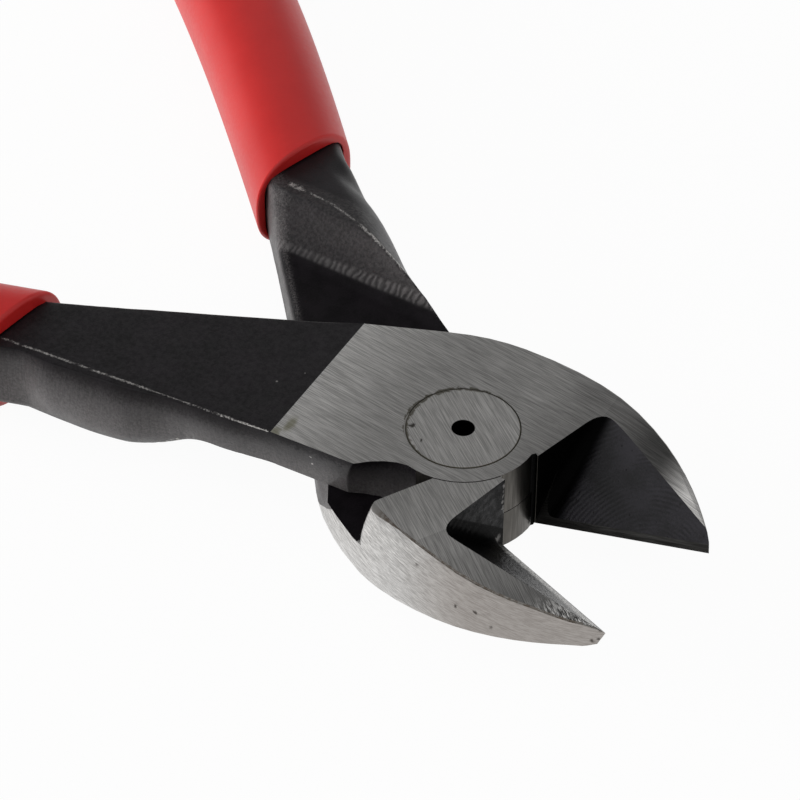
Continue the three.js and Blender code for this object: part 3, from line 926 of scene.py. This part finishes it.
# Single marks in the frame of their piece: place and size.
STAINS = ((-15.6, -8.2, HEAD, 1.1), (-16.3, -9.9, HEAD, 0.9))
JAW_DENTS = (
    (12.7, -12.3, 8.5, 0.4),
    (17.0, -10.5, 6.0, 0.35),
    (18.7, -9.5, 6.1, 0.3),
    (20.1, -8.4, 4.7, 0.35),
    (27.02, -0.95, 5.5, 0.35),
    (27.37, -0.55, 6.0, 0.3),
)
WALL_NICKS = ((-12.14, -9.86, 9.43, 0.2), (-12.04, -9.69, 8.35, 0.2), (-36.0, -10.3, 7.6, 0.22))
HUB_BURRS = ((8.72, -0.85, 3.15, 0.5), (9.3, -1.5, 3.6, 0.4))
RELIEF_BURRS = tuple((8.55, -0.25, 6.6 + 0.7 * k, 0.24) for k in range(6))
PIN_SPECKS = ((-2.9, -4.3, HEAD, 0.42), (-0.6, -4.7, HEAD, 0.3))
ROUND_SPOT = (1, 1, 1)
STAIN_STRETCH = (1.3, 0.7, 0.3)
BURR_STRETCH = (1, 1, 0.6)

# Painted light and shade along the jaws: from one length to another, from one factor to another.
FACE_PAINTED_LIGHT = {1: ((-17.0, -6.0, 1.18, 0.79), (3.0, 11.0, 1.0, 0.68)), -1: ((2.0, 12.0, 0.76, 0.84),)}
TAPER_PAINTED_LIGHT = {
    1: ((12.0, 18.0, 0.46, 0.17), (19.0, 24.0, 1.0, 7.0)),
    -1: ((13.0, 19.0, 0.66, 0.55), (19.0, 22.0, 1.0, 0.75), (22.5, 25.0, 1.0, 1.65)),
}
SIDE_PAINTED_LIGHT = ((5.0, 13.0, 0.97, 0.82), (13.0, 20.0, 1.0, 0.76))
SIDE_BROWN = ((9.0, 18.0, 0.0, 0.56),)

# Stretch of each jaw's edge that keeps dirt. The upper one has none: its stretch lies past the tip.
DIRTY_EDGES = {1: (90.0, 99.0), -1: (7.5, 26.0)}

# Where the painted shade of the throat ends on the milled face, along the jaw.
THROAT_SHADE_ENDS = {1: (10.0, 11.7), -1: (11.4, 27.0)}
CUTTER_CENTRE = (22.4, -3.2, 2.65)

# Strokes on the forgings: two ends, width and how broken the stroke is. Inner ones are painted sheen.
INNER_EDGE_SHEEN = (
    ((-50.0, -3.9, 1.9), (-43.6, -1.4, 1.9), 1.5, 0.3),
    ((-43.6, -1.4, 1.9), (-40.6, -0.2, 5.2), 1.1, 0.3),
    ((-40.6, -0.2, 5.2), (GROUND_END, 8.6, 5.5), 0.75, 0.3),
)
EDGE_Z = HEAD - 0.1
OUTER_EDGE_WEAR = (
    ((GROUND_END - 0.3, -10.1, EDGE_Z), (-31.0, -10.28, EDGE_Z - 0.6), 0.15, 0.35),
    ((-31.0, -10.28, EDGE_Z - 0.6), (GRIP_START.x - 2.0, -10.5, EDGE_Z - 1.35), 0.22, 0.43),
)
RIM_STROKES = 6


# Effects that several materials share.
def grinding_lines():
    """Fine scratches of a grinding belt, along the X direction of the place that comes in."""
    tree, at, turn, length = new_group("grinding_lines", turn=0.0, length=9.0)
    inputs = {"Vector": at, "Angle": turn}
    turned = field(tree, "ShaderNodeVectorRotate", inputs, rotation_type="Z_AXIS")
    share = 1.0 / length
    layers = []
    for stretch, across, weight in ((1.0, 7.0, 0.25), (1.6, 12.0, 0.4), (2.4, 19.0, 0.35)):
        along = share * stretch
        scale = field(tree, "ShaderNodeCombineXYZ", {"X": along, "Y": across, "Z": along})
        layers.append((turned * scale).noise(1.0, 2.0, 0.6) * weight)
    total = layers[0] + layers[1] + layers[2]
    even = total.remap(0.43, 0.57, 0.12, 0.82, "LINEAR")
    single_scale = field(tree, "ShaderNodeCombineXYZ", {"X": share, "Y": 8.0, "Z": share})
    shifted = turned * single_scale + (31.0, 17.0, 5.0)
    single = shifted.noise(1.0, 1.0, 0.5).remap(0.64, 0.72, 0.0, 0.55)
    return close_group(tree, tone=(even + single).clamped(), groove=total)


def broken_line():
    """A broken line between two points: where a blackened edge is rubbed bare, and where a painted sheen runs
    along an edge.
    """
    inputs = {"start": None, "end": None, "width": 0.3, "gaps": 0.5}
    tree, at, start, end, width, gaps = new_group("broken_line", **inputs)
    from_start = at - start
    run = end - start
    share = (from_start.dot(run) / run.dot(run)).clamped()
    off = (from_start - run * share).length()
    ragged = (at.noise(4.5, 3.0, 0.65) - 0.5) * (width * 2.2)
    near = (off + ragged).remap(width, 0.0)
    kept = (at.noise(0.9, 3.0, 0.6) - gaps).remap(-0.12, 0.1)
    speckled = at.noise(7.0, 2.0, 0.6).remap(0.36, 0.58, 0.25, 1.0)
    return close_group(tree, bare=(near * kept * speckled).clamped())


def forge_skin():
    """Fine grain of a blackened forging, with soft patches."""
    tree, at, grain = new_group("forge_skin", grain=6.0)
    fine = at.noise(grain, 3.0, 0.6)
    broad = at.noise(0.35, 3.0, 0.55)
    tone = fine * 0.45 + broad * 0.55
    return close_group(tree, tone=tone.remap(0.38, 0.62), height=fine)


def pits():
    """Scattered small dark pits and specks."""
    tree, at, density, size = new_group("pits", density=0.6, size=0.16)
    cells = put(tree, "ShaderNodeTexVoronoi", {"Vector": at, "Scale": density})
    colour = Field(tree, cells.outputs["Color"])
    pick = field(tree, "ShaderNodeSeparateColor", {"Color": colour})
    distance = Field(tree, cells.outputs["Distance"])
    return close_group(tree, pit=distance.remap(size * density * pick, 0.0))


def soft_spot():
    """One uneven spot round its centre."""
    inputs = {"centre": None, "stretch": None, "size": 0.3, "strength": 0.9}
    tree, at, centre, stretch, size, strength = new_group("soft_spot", **inputs)
    wobble = field(tree, "ShaderNodeTexNoise", {"Vector": at, "Scale": 0.9, "Detail": 3.0}, "Color")
    moved = at + wobble * 1.2 - (0.6, 0.6, 0.6)
    off = ((moved - centre) * stretch).length()
    return close_group(tree, mask=off.remap(size, size * 0.3, 0.0, strength))


def along_jaw():
    """Value that goes over from one to another between two lengths along the jaw."""
    inputs = {"start": 0.0, "end": 1.0, "first": 0.0, "last": 1.0}
    tree, at, start, end, first, last = new_group("along_jaw", **inputs)
    return close_group(tree, value=at.axes()[0].remap(start, end, first, last))


def seam_residue():
    """Dried oil and dirt in the seam round the pin, most on the side that is given."""
    tree, at, dirty_side = new_group("seam_residue", dirty_side=None)
    flat = at * (1, 1, 0)
    radius = flat.length()
    back = flat.dot(dirty_side) / radius
    grain = at.noise(1.3, 4.0, 0.65)
    width = back.remap(-0.4, 0.9, 0.02, 0.4) * grain.remap(0.32, 0.62, 0.15, 1.0)
    off = (radius - PIN_HEAD).size()
    crack = off.remap(0.12, 0.05, 0.0, 0.9)
    dirt = (off - width).remap(0.1, -0.12, 0.0, 0.75)
    return close_group(tree, dirt=crack.most(dirt))


def edge_wear():
    """Worn edge of a jaw: bright where it is rubbed, brown where dirt stays on it."""
    tree, at, start, end = new_group("edge_wear", start=0.0, end=1.0)
    grain = at.noise(2.4, 3.0, 0.65)
    dirt = at.axes()[0].band(start, end, 2.5) * grain.remap(0.34, 0.62, 0.3, 0.95)
    colour = dirt.blend(grain.blend(*EDGE_STEEL), EDGE_DIRT)
    return close_group(tree, colour=colour, height=grain)


def cutter_arcs():
    """Arcs that a round cutter leaves, in patches."""
    tree, at = new_group("cutter_arcs")
    phase = (at - CUTTER_CENTRE).length() * 13.0 + at.noise(0.5, 2.0, 0.5) * 6.0
    patch = at.noise(0.3, 3.0, 0.6).remap(0.4, 0.6)
    return close_group(tree, arcs=phase.sine() * patch)


def ramp_marks_and_foot_sheen():
    """Rough skin of the ramp, and the teeth that the cutter left along its foot, with a painted highlight on
    the round of the foot and painted light and shade on the teeth.
    """
    inputs = {"past_foot": 0.0, "across": 0.0, "lap_side": 1.0, "grain": 0.5}
    tree, at, past_foot, across, lap_side, grain = new_group("ramp_marks_and_foot_sheen", **inputs)
    foot = past_foot.band(0.0, 0.4, 0.35) * lap_side * across.remap(0.0, 14.0, 0.7, 1.15)
    teeth = (across * 8.0 + at.noise(0.5, 2.0, 0.5) * 14.0).sine() * foot
    ramp = past_foot.band(0.6, 6.0, 0.8) * lap_side
    # The foot's band is a painted highlight, and the teeth are painted lighter and darker as well as raised.
    light = foot * 0.3 + teeth * 0.2 + ramp * grain.remap(0.35, 0.65, 0.03, 0.21)
    height = (grain - 0.5) * ramp * 1.3 + teeth * 0.7
    return close_group(tree, light=light, height=height)


def wall_floor_reflection():
    """Painted reflection of the floor: grey skin low on the walls and in the notch at the heel, with upright
    streaks.
    """
    inputs = {"wall": 1.0, "streak": 0.0, "behind_heel": 0.0, "into_notch": 0.0}
    tree, at, wall, streak, behind_heel, into_notch = new_group("wall_floor_reflection", **inputs)
    x, _, level = at.axes()
    heel = (into_notch.remap(0.3, 0.15) - behind_heel).clamped() * x.remap(-5.6, -6.4)
    low_wall = level.remap(11.3, 4.6).most(level.remap(10.4, 6.2) * heel) * wall
    streaked = at.noise(3.5, 4.0, 0.7).remap(0.34, 0.66, 0.38, 0.82) + streak * 0.28
    return close_group(tree, light=low_wall * streaked)


LINES = grinding_lines()
WORN = broken_line()
SKIN = forge_skin()
PITS = pits()
SPOT = soft_spot()
ALONG_JAW = along_jaw()
SEAM = seam_residue()
EDGE_WEAR = edge_wear()
ARCS = cutter_arcs()
RAMP = ramp_marks_and_foot_sheen()
WALL_FLOOR_REFLECTION = wall_floor_reflection()


# Masks on a material's own place.
def seam_mask(at, side):
    """Dirt round the pin, most on the side of the handles."""
    return use_group(SEAM, at, dirty_side=(-0.9, side * 0.4, 0)).dirt


def spots(at, places, stretch, strength):
    """Uneven spots at given places, each with its own size."""
    found = []
    for *centre, size in places:
        spot = use_group(SPOT, at, centre=centre, stretch=stretch, size=size, strength=strength)
        found.append(spot.mask)
    return most_of(found)


def tone_along(at, stretches):
    """Product of stretches along the jaw that run from one value to another."""
    total = None
    for start, end, first, last in stretches:
        part = use_group(ALONG_JAW, at, start=start, end=end, first=first, last=last).value
        total = part if total is None else total * part
    return total


def tip_scratches(at, turn, stretch, tones):
    """Coarse scratches near the tip of the jaw."""
    lines = use_group(LINES, at * 0.5, turn=math.radians(turn), length=0.8)
    return lines.tone.remap(*tones) * at.axes()[0].remap(*stretch)


def eye_shade(at):
    """Factor of painted shade in the hole in the upper end of the pin, and a little on the rest of its face.
    """
    inside = (at * (1, 1, 0)).length().remap(EYE_RADIUS + 0.06, EYE_RADIUS)
    upper = at.axes()[2].remap(2.0, 3.0)
    return (inside * upper).remap(0.0, 1.0, 0.92, 0.02)


def broken_strokes(own, strokes):
    """Where any of several broken strokes lies: edges rubbed bare, and painted sheen for the inner strokes.
    """
    lines = []
    for start, end, width, gaps in strokes:
        lines.append(use_group(WORN, own, start=start, end=end, width=width, gaps=gaps).bare)
    return most_of(lines)


# Materials.
def new_material(name):
    """Material, its shader, and the place on its piece in millimetres."""
    material = bpy.data.materials.new(name)
    material.use_nodes = True
    tree = material.node_tree
    at = field(tree, "ShaderNodeTexCoord", output="Object") * (1 / MM)
    return material, tree.nodes["Principled BSDF"], at


def feed(shader, inputs):
    for name, value in inputs.items():
        set_input(shader.inputs[name], value)


def relief(height, depth, strength):
    """Normal of a relief of a depth in millimetres."""
    inputs = {"Height": height, "Distance": depth * MM, "Strength": strength}
    return field(height.tree, "ShaderNodeBump", inputs, "Normal")


def ground_steel(name, turn, tones, length=5.0, roughness=(0.3, 0.42), order="XYZ", marks=(), fade=None):
    """Bare ground steel with scratches turned by an angle in the plane of the face. Each mark is a mask and
    the colour it brings."""
    material, shader, at = new_material(name)
    lines = use_group(LINES, at.swapped(order), turn=math.radians(turn), length=length)
    colour = (lines.tone * 0.8 + at.noise(0.3, 3.0, 0.55) * 0.2).blend(*tones)
    pit = use_group(PITS, at, density=0.3, size=0.14).pit
    colour = (pit * 0.6).blend(colour, PIT_DARK)
    # The fade is a factor of painted light and shade on the colour.
    if fade:
        colour = colour * fade(at)
    for mask, tint in marks:
        colour = mask(at).blend(colour, tint)
    looks = {
        "Base Color": colour,
        "Metallic": 1.0,
        "Roughness": lines.tone.remap(0.0, 1.0, *reversed(roughness), "LINEAR"),
        "Normal": relief(lines.groove, 0.06, 0.35),
    }
    feed(shader, looks)
    return material


def outer_edge(name, side):
    """Worn edge between the ground faces and the side of a jaw."""
    material, shader, at = new_material(name)
    start, end = DIRTY_EDGES[side]
    wear = use_group(EDGE_WEAR, at, start=start, end=end)
    normal = relief(wear.height, 0.05, 0.4)
    feed(shader, {"Base Color": wear.colour, "Metallic": 1.0, "Roughness": 0.4, "Normal": normal})
    return material


def black_forging(name, side, rim):
    """Blackened forged steel: rough ramp with tool marks at its foot, edges rubbed bare, and painted light: a
    highlight along the ramp's foot, a sheen on the tang's inner edge, the floor's reflection low on the
    walls.
    """
    material, shader, at = new_material(name)
    own = at * (1, side, side) + (0, 0, HEAD if side < 0 else 0.0)
    x, _, level = own.axes()
    up = field(at.tree, "ShaderNodeNewGeometry", output="Normal").axes()[2]
    lap_side = (up * -side).remap(0.15, 0.45)
    wall = up.size().remap(0.3, 0.7, 1.0, 0.0)
    skin = use_group(SKIN, at, grain=6.0)
    grain = own.noise(2.6, 4.0, 0.65)

    form = OUTER_SIDES[side]
    to_joint = heading(90 - form["foot_angle"])
    from_foot = own - (*form["foot"], 0)
    past_foot = from_foot.dot((-to_joint.x, -to_joint.y, 0))
    across = from_foot.dot((to_joint.y, -to_joint.x, 0))
    ramp = use_group(RAMP, own, past_foot=past_foot, across=across, lap_side=lap_side, grain=grain)
    streak = use_group(LINES, own.swapped("ZXY"), turn=0.0, length=5.0).tone * wall
    behind_heel = x.remap(-13.0, -19.0)
    into_notch = field(at.tree, "ShaderNodeTexCoord", output="Normal").axes()[0]
    walls = {"wall": wall, "streak": streak, "behind_heel": behind_heel, "into_notch": into_notch}
    # Painted reflection of the floor, lighter low on the walls and in the heel notch.
    rubbed = use_group(WALL_FLOOR_REFLECTION, own, **walls)
    # The inner strokes add a painted sheen on the round inner edge of the tang.
    lighter = (ramp.light + broken_strokes(own, INNER_EDGE_SHEEN) * 0.62 + rubbed.light).clamped()
    # The grey skin mixed in here is partly painted light and partly the grey mottle of the ramp.
    colour = lighter.blend(skin.tone.blend(*BLACK_SKIN), SHEEN_AND_GREY_SKIN)

    crest = [Vector(point) for point in form["crest"]]
    bends = crest[2:]
    for k in range(RIM_STROKES, -1, -1):
        bends.append(rim[round(k * (len(rim) - 1) / RIM_STROKES)])
    strokes = [*OUTER_EDGE_WEAR, (crest[0], crest[1], 0.5, 0.4), (crest[1], crest[2], 0.24, 0.5)]
    strokes += [(first, last, 0.26, 0.45) for first, last in zip(bends, bends[1:])]
    fleck = use_group(PITS, own, density=0.35, size=0.2).pit
    bare = broken_strokes(own, strokes).most(fleck * 0.4)
    if side > 0:
        bare = bare.most(spots(own, WALL_NICKS, ROUND_SPOT, 0.8))

    ragged = level + (grain - 0.5) * 3.0
    oiled = ragged.remap(7.4, 10.2) * wall * behind_heel
    under_edge = ragged.remap(9.0, 10.8) * wall
    mottle = own.noise(1.7, 5.0, 0.7).remap(0.36, 0.64, 0.24, 0.58)
    ground_side = (up * side).remap(0.6, 0.9) * mottle
    lap_floor = past_foot.remap(0.2, -0.6) * lap_side * 0.85
    oiled = most_of([oiled, under_edge, ground_side, lap_floor])
    shader.inputs["Specular IOR Level"].default_value = 0.26
    height = skin.height * 0.3 + ramp.height + streak * 0.12
    looks = {
        "Base Color": bare.blend(colour, BARE_STEEL),
        "Metallic": bare * 0.9,
        "Roughness": skin.tone.remap(0.0, 1.0, 0.5, 0.38, "LINEAR"),
        "Specular IOR Level": oiled.remap(0.0, 1.0, 0.36, 0.1),
        "Normal": relief(height, 0.14, 0.5),
    }
    feed(shader, looks)
    return material


def milled_steel(name, side):
    """Dark face of the cutting edge with cutter arcs, painted shade in the throat, rubbed towards the lower
    tip.
    """
    material, shader, at = new_material(name)
    own = at * (1, side, 1)
    x, y, z = own.axes()
    arcs = use_group(ARCS, own).arcs
    skin = use_group(SKIN, own, grain=6.0)
    pit = use_group(PITS, own, density=1.3, size=0.2).pit
    lines = use_group(LINES, own, turn=0.0, length=7.0).tone
    # The throat is painted in shade, by a dark colour and a low specular level.
    clear_of_throat_shade = (x - z * 0.15).remap(*THROAT_SHADE_ENDS[side])
    if side < 0:
        # On the lower jaw the throat wall stays lit above a slanted line and is painted in shade below it.
        lit_throat_wall = (z - y * 0.957).remap(3.8, 4.2) * x.remap(11.2, 10.8)
        lit_throat_wall = lit_throat_wall * own.noise(1.2, 4.0, 0.7).remap(0.35, 0.65, 0.12, 0.3)
        clear_of_throat_shade = clear_of_throat_shade.most(lit_throat_wall)
    tone = (skin.tone * 0.7 + arcs * 0.26).clamped() + 0.3
    colour = (tone * clear_of_throat_shade).blend(*MILLED_SKIN)
    colour = pit.blend(colour, MILLED_SKIN[0])
    if side < 0:
        worn_grain = own.noise(2.2, 4.0, 0.7)
        rubbed = x.remap(17.0, 26.0) * worn_grain.remap(0.35, 0.62, 0.06, 0.8)
        colour = rubbed.blend(colour, WORN_MILLED)
        from_edge = y + (worn_grain - 0.5) * 1.6
        strip = from_edge.remap(1.75, 1.15) * x.remap(9.4, 11.4)
        strip = strip * own.noise(4.5, 4.0, 0.75).remap(0.36, 0.6, 0.25, 1.0)
        colour = strip.blend(colour, EDGE_STRIP)
        colour = spots(at, HUB_BURRS + RELIEF_BURRS, BURR_STRETCH, 0.9).blend(colour, BURR_GREY)
        feed(shader, {"Metallic": rubbed.most(strip)})
    shader.inputs["Specular IOR Level"].default_value = 0.4
    height = skin.height * 0.8 + arcs * 0.2 - pit
    looks = {
        "Base Color": colour,
        "Roughness": lines.remap(0.0, 1.0, 0.44, 0.3, "LINEAR"),
        "Specular IOR Level": clear_of_throat_shade.remap(0.0, 1.0, 0.02, 0.5),
        "Normal": relief(height, 0.08, 0.5),
    }
    feed(shader, looks)
    return material


def red_plastic(name):
    """Soft red plastic of a dipped grip: even colour, faint waves, satin shine."""
    material, shader, at = new_material(name)
    speck = at.noise(2.5, 3.0, 0.6)
    tone = at.noise(0.12, 3.0, 0.55) * 0.7 + speck * 0.3
    looks = {
        "Base Color": tone.remap(0.35, 0.65).blend(*RED_PLASTIC),
        "Roughness": speck.remap(0.3, 0.7, 0.36, 0.46, "LINEAR"),
        "Normal": relief(at.noise(0.9, 3.0, 0.55), 0.12, 0.12),
    }
    feed(shader, looks)
    return material


def lever_finishes(name, side, turn, rim):
    """Materials of a lever in the order of its slots."""
    face_marks = [(partial(seam_mask, side=side), SEAM_DIRT)]
    side_marks = [(partial(tone_along, stretches=SIDE_BROWN), BROWN_TONE)]
    tip_marks = []
    if side > 0:
        stains = partial(spots, places=STAINS, stretch=STAIN_STRETCH, strength=0.62)
        face_marks.append((stains, OIL_STAIN))
    else:
        dents = partial(spots, places=JAW_DENTS, stretch=ROUND_SPOT, strength=0.9)
        side_marks.append((dents, DENT_DARK))
        deep = partial(tip_scratches, turn=turn, stretch=(22.0, 25.0), tones=(0.42, 0.2))
        bright = partial(tip_scratches, turn=turn, stretch=(21.5, 25.5), tones=(0.56, 0.7))
        tip_marks += [(deep, SCRATCH_DARK), (bright, SCRATCH_BRIGHT)]
    # These fades paint light and shade along the ground faces, the sides and the tapered faces.
    face_painted_light = partial(tone_along, stretches=FACE_PAINTED_LIGHT[side])
    side_painted_light = partial(tone_along, stretches=SIDE_PAINTED_LIGHT)
    tip_painted_light = partial(tone_along, stretches=TAPER_PAINTED_LIGHT[side])
    side_lines = (12.0, SIDE_STEEL, 1.7, (0.34, 0.46), "XZY")
    tip_lines = (turn, GROUND_STEEL, 5.0, (0.36, 0.5), "XYZ")
    return [
        ground_steel(name + "_ground_face", turn, GROUND_STEEL, marks=face_marks, fade=face_painted_light),
        ground_steel(name + "_ground_side", *side_lines, side_marks, side_painted_light),
        ground_steel(name + "_tapered_face", *tip_lines, tip_marks, tip_painted_light),
        milled_steel(name + "_milled_face", side),
        ground_steel(name + "_honed_edge", 0.0, HONED_STEEL),
        ground_steel(name + "_hub_wall", 0.0, HUB_STEEL, 9.0, (0.3, 0.4), "ZXY"),
        outer_edge(name + "_outer_edge", side),
        black_forging(name + "_blackened", side, rim),
    ]


# The two levers, the grips and the pin. The pin's end is ground together with the lower lever.
GRINDING_TURNS = {1: 9.6, -1: 7.0}
red = red_plastic("red_grip_plastic")
for name, side, body in (("upper", 1, "upper_half"), ("lower", -1, "lower_half")):
    node = name + "_lever"
    mesh, rim = lever_mesh(node, side)
    finishes = lever_finishes(node, side, GRINDING_TURNS[side], rim)
    piece(name + "_lever_forging", mesh, side * HALF_MOUTH, body, node, finishes)
    mesh = grip_mesh(name + "_grip_sleeve", side)
    piece(name + "_grip_sleeve", mesh, side * HALF_MOUTH, body, name + "_grip", [red])

specks = partial(spots, places=PIN_SPECKS, stretch=ROUND_SPOT, strength=0.9)
pin_marks = [(partial(seam_mask, side=-1), SEAM_DIRT), (specks, SPECK_DARK)]
pin_steel = ground_steel("pin_ground_face", GRINDING_TURNS[-1], GROUND_STEEL, marks=pin_marks, fade=eye_shade)
mesh = pin_mesh("pivot_pin_turned")
piece("pivot_pin_turned", mesh, -HALF_MOUTH, "lower_half", "pivot_pin", [pin_steel])


# Floor, sky, lamps and camera.
FLOOR_SIZE = 4.0
FLOOR_GAP = 0.02 * MM
TABLE_WHITE = (0.9, 0.89, 0.885, 1)
SEEN_WHITE = 0.955
PURE_WHITE = (1, 1, 1, 1)
BACK_WALL = (-0.71, 0.705, 0)
CAMERA_PLACE = (0.1503, -0.1583, 0.2169)
CAMERA_FORWARD = Vector((-0.5206, 0.5170, -0.6794))
CAMERA_LENS = 132.98
CAMERA_SENSOR = 36.0


def make_floor():
    """Table that is white where the camera sees it, in mirrors too, and plain for all other light."""
    bm = bmesh.new()
    bmesh.ops.create_grid(bm, x_segments=1, y_segments=1, size=FLOOR_SIZE)
    mesh = bpy.data.meshes.new("floor")
    bm.to_mesh(mesh)
    bm.free()
    floor = bpy.data.objects.new("floor", mesh)
    floor.location.z = CAD_BOX[0].z - FLOOR_GAP
    bpy.context.scene.collection.objects.link(floor)
    material = bpy.data.materials.new("white_table")
    material.use_nodes = True
    tree = material.node_tree
    tree.nodes.clear()
    plain = field(tree, "ShaderNodeBsdfDiffuse", {"Color": TABLE_WHITE})
    white = field(tree, "ShaderNodeEmission", {"Color": PURE_WHITE, "Strength": 1.0})
    rays = put(tree, "ShaderNodeLightPath").outputs
    seen = most_of([Field(tree, rays[f"Is {kind} Ray"]) for kind in ("Camera", "Glossy", "Transmission")])
    mixed = field(tree, "ShaderNodeMixShader", {0: seen * SEEN_WHITE, 1: plain, 2: white})
    end = put(tree, "ShaderNodeOutputMaterial", {"Surface": mixed})
    end.is_active_output = True
    mesh.materials.append(material)


def make_world():
    """Sky that is bright low behind the tool, dimmer before it, with a soft light overhead."""
    world = bpy.data.worlds.new("studio")
    world.use_nodes = True
    bpy.context.scene.world = world
    tree = world.node_tree
    tree.nodes.clear()
    direction = field(tree, "ShaderNodeTexCoord", output="Generated")
    height = direction.axes()[2]
    turn = direction.dot(BACK_WALL).remap(-0.35, 0.45)
    behind = height.remap(0.08, 0.5, 1.0, 0.27)
    before = height.remap(0.12, 0.6, 0.14, 0.6)
    overhead = height.remap(0.84, 0.97, 0.0, 0.4)
    level = behind * turn + before * (1.0 - turn) + overhead
    sky = field(tree, "ShaderNodeBackground", {"Color": PURE_WHITE, "Strength": level})
    put(tree, "ShaderNodeOutputWorld", {"Surface": sky})


def add_lamp(name, place, target, size, power):
    light = bpy.data.lights.new(name, "AREA")
    light.shape = "DISK"
    light.size = size
    light.energy = power
    lamp = bpy.data.objects.new(name, light)
    lamp.location = place
    aim = Vector(target) - Vector(place)
    lamp.rotation_euler = aim.to_track_quat("-Z", "Y").to_euler()
    lamp.visible_glossy = False
    bpy.context.scene.collection.objects.link(lamp)


def make_camera():
    """Camera at the photograph's viewing angle, with the pivot where the photograph has it."""
    lens = bpy.data.cameras.new("camera")
    lens.sensor_width = CAMERA_SENSOR
    lens.lens = CAMERA_LENS
    lens.clip_start = 0.01
    lens.clip_end = 50.0
    camera = bpy.data.objects.new("camera", lens)
    camera.location = CAMERA_PLACE
    camera.rotation_euler = CAMERA_FORWARD.to_track_quat("-Z", "Y").to_euler()
    bpy.context.scene.collection.objects.link(camera)
    bpy.context.scene.camera = camera


make_floor()
make_world()
add_lamp("left_soft_box", (-0.52, -0.44, 0.1), (-0.05, 0, 0), 0.4, 5.0)
add_lamp("right_soft_box", (0.25, 0.6, 0.15), (0, 0, 0), 0.4, 0.3)
make_camera()
bpy.context.scene.view_settings.view_transform = "Standard"
